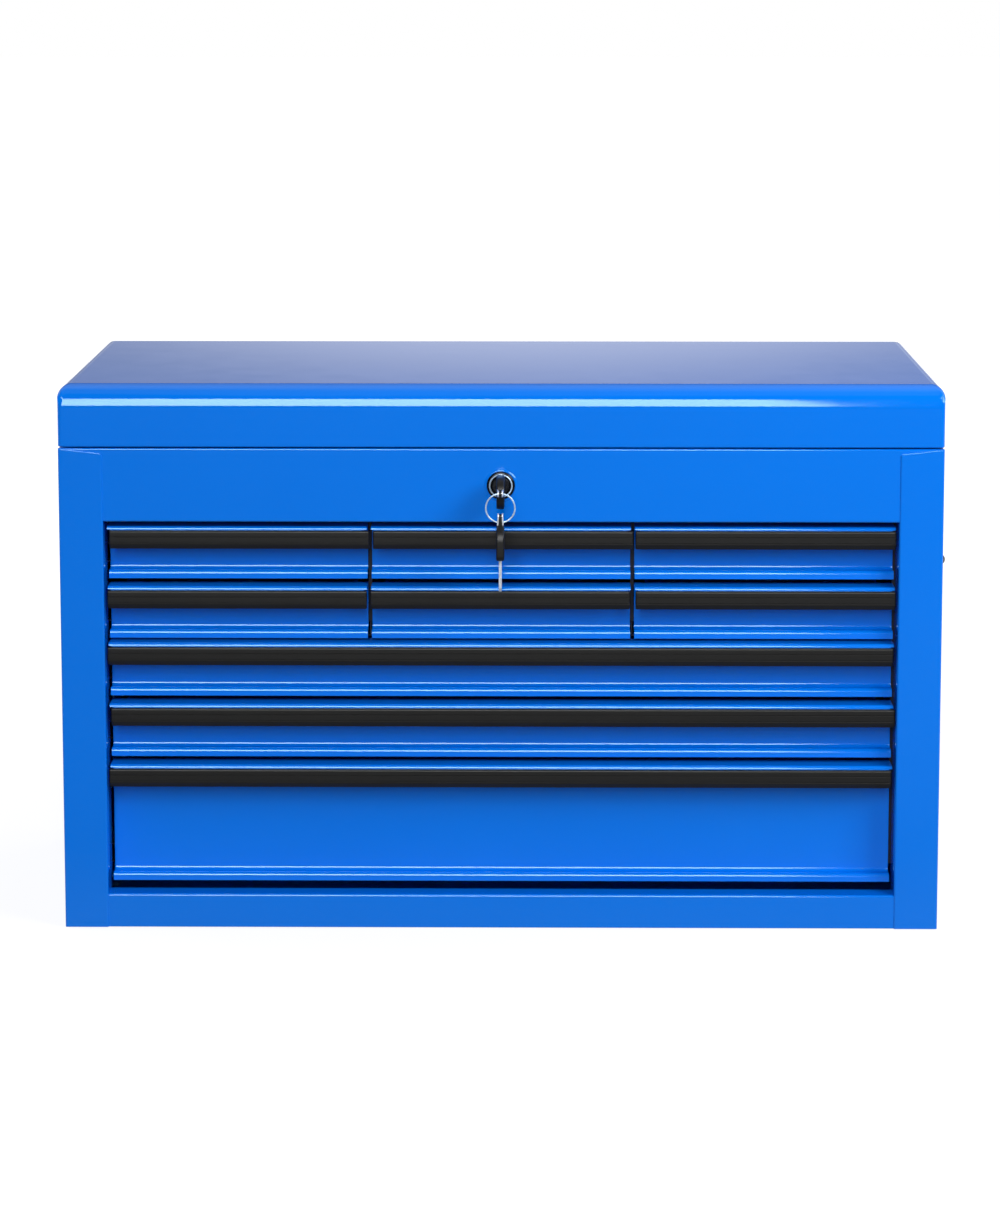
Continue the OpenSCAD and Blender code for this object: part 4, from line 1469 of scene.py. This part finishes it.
@dataclass
class Studio:
    """The pale floor, the plain surroundings, the lamps and the camera.

    Attributes:
        ambient: the strength of the light from all round.
        wall: the reflected wall's brightness at some distances from its foot.
        pool: the radii, in metres, between which the floor brightens from pool_low to 1.
    """

    camera_spot: Point = (0.025, -2.769, 0.741)
    camera_tilt: float = 7.8
    camera_turn: float = 0.56
    lens: float = 104.8
    shift: float = -0.15
    ambient: float = 0.08
    pool: Corner = (0.5, 1.6)
    pool_low: float = 0.85
    wall: Sequence[Corner] = ((0.005, 1.0), (0.9, 0.04), (0.026, 0.34), (0.1, 0.28), (0.24, 0.08))
    lamps: Sequence[Softbox] = (
        Softbox("front_softbox", (-0.3, -6.0, 3.35), (-0.3, 0, 3.35), (2.1, 4.5), 8.7),
        Softbox("right_key", (1.05, -1.0, 1.15), (0.1, -0.1, 0.2), (0.7, 0.7), 8.0),
        Softbox("overhead_softbox", (0.3, -0.6, 3.0), (0, 0, 0), (2.2, 1.6), 0.2),
        Softbox("right_fill", (3.4, 0.5, 1.2), (0, 0, 0.2), (1.5, 1.5), 4.0, False),
        Softbox("left_fill", (-3.4, 0.5, 1.2), (0, 0, 0.2), (1.5, 1.5), 5.0, False),
        Softbox("right_rear_fill", (2.7, 3.2, 1.2), (0, 0, 0.2), (1.5, 1.5), 7.0, False),
        Softbox("left_rear_fill", (-2.7, 3.2, 1.2), (0, 0, 0.2), (1.5, 1.5), 7.0, False),
    )

    def surroundings(self) -> None:
        """White where it is seen, a bright wall behind the box in reflections, and a soft level for light."""
        world = bpy.data.worlds.new("surroundings")
        bpy.context.scene.world = world
        bench = NodeBench(world, bare=True)
        seen_ray, mirrored_ray = bench.rays()
        way = bench.add("SeparateXYZ", bench.place["Generated"]).outputs
        rise = bench.span(way["Z"], 0.1, 1.1)
        wall = bench.add("ValToRGB", bench.maths("ADD", rise, bench.maths("MULTIPLY", way["X"], way["X"])))
        stops = wall.color_ramp.elements
        new_stops = (stops.new(distance) for distance, _ in self.wall[2:])
        for stop, (distance, level) in zip((stops[0], stops[1], *new_stops), self.wall):
            stop.position = distance
            stop.color = (level, level, level, 1)
        seen = bench.maths("MULTIPLY", bench.span(way["Y"], -0.1, 0.35, 0.06), wall.outputs["Color"])
        levels = (self.ambient, seen, 1.0)
        backs = [bench.add("Background", Color=WHITE, Strength=level) for level in levels]
        soft, mirror, white = (back.outputs[0] for back in backs)
        inner = bench.add("MixShader", mirrored_ray, soft, mirror).outputs[0]
        bench.add("OutputWorld", bench.add("MixShader", seen_ray, inner, white).outputs[0])

    def floor(self) -> None:
        """A wide floor that keeps the box's shadow and is white where it is seen."""
        deselect()
        bpy.ops.mesh.primitive_plane_add(size=40, location=(0, 0, -0.0005))
        floor = named("floor")
        bench = NodeBench(bpy.data.materials.new("pale_floor"), bare=True)
        seen_ray, mirrored_ray = bench.rays()
        away = bench.add("VectorMath", bench.place["Object"])
        away.operation = "LENGTH"
        rise = bench.span(away.outputs["Value"], *self.pool, self.pool_low)
        behind = bench.span(bench.add("SeparateXYZ", bench.place["Object"]).outputs["Y"], -0.4, 0.6)
        shown = bench.maths("MAXIMUM", seen_ray, bench.maths("MULTIPLY", mirrored_ray, behind))
        lift = bench.add("Emission", Strength=bench.maths("MULTIPLY", shown, rise)).outputs[0]
        card = bench.add("BsdfDiffuse", Color=(0.2, 0.2, 0.2, 1)).outputs[0]
        bench.add("OutputMaterial", bench.add("AddShader", card, lift).outputs[0])
        floor.data.materials.append(bench.owner)

    def camera(self) -> None:
        """The camera, a little above the box and in front of it."""
        deselect()
        turn = (math.radians(90 - self.camera_tilt), 0, math.radians(self.camera_turn))
        bpy.ops.object.camera_add(location=self.camera_spot, rotation=turn)
        camera = bpy.context.object
        camera.data.lens = self.lens
        camera.data.sensor_width = 36
        camera.data.shift_y = self.shift
        camera.data.clip_end = 200
        bpy.context.scene.camera = camera

    def build(self) -> None:
        """Sets the stage."""
        bpy.context.scene.view_settings.view_transform = "Standard"
        self.surroundings()
        self.floor()
        for lamp in self.lamps:
            lamp.hang()
        self.camera()


# ---------- Assembly ----------

COLUMN = 197.667
TOP_ROW = (265.4, (Bay("top_left", -COLUMN, 1.9), Bay("top_middle", 0, 1.6), Bay("top_right", COLUMN, 0.3)))
SECOND_ROW = (
    219.8,
    (Bay("second_left", -COLUMN, -0.1), Bay("second_middle", 0, -0.6), Bay("second_right", COLUMN, 0.6)),
)
WIDE_ROWS = ((175.4, (Bay("third", 0, -0.6),)), (128.6, (Bay("fourth", 0, 1.4),)))
DEEP_ROWS = ((32.1, (Bay("bottom", 0, -0.7),)),)


def main() -> None:
    """Builds every sub-assembly in order, then the studio round it."""
    logging.basicConfig(level=logging.INFO, format="%(name)s: %(message)s")
    finishes = {finish: finish.value.material() for finish in Finish}
    Cabinet(finishes).build()
    Lid(finishes).build()
    Drawers(finishes, 97.333, 41.2, (TOP_ROW, SECOND_ROW)).build()
    Drawers(finishes, 295.0, 42.4, WIDE_ROWS).build()
    Drawers(finishes, 295.0, 92.1, DEEP_ROWS).build()
    Lock(finishes).build()
    Keys(finishes).build()
    Handles(finishes).build()
    Studio().build()


if __name__ == "__main__":
    main()
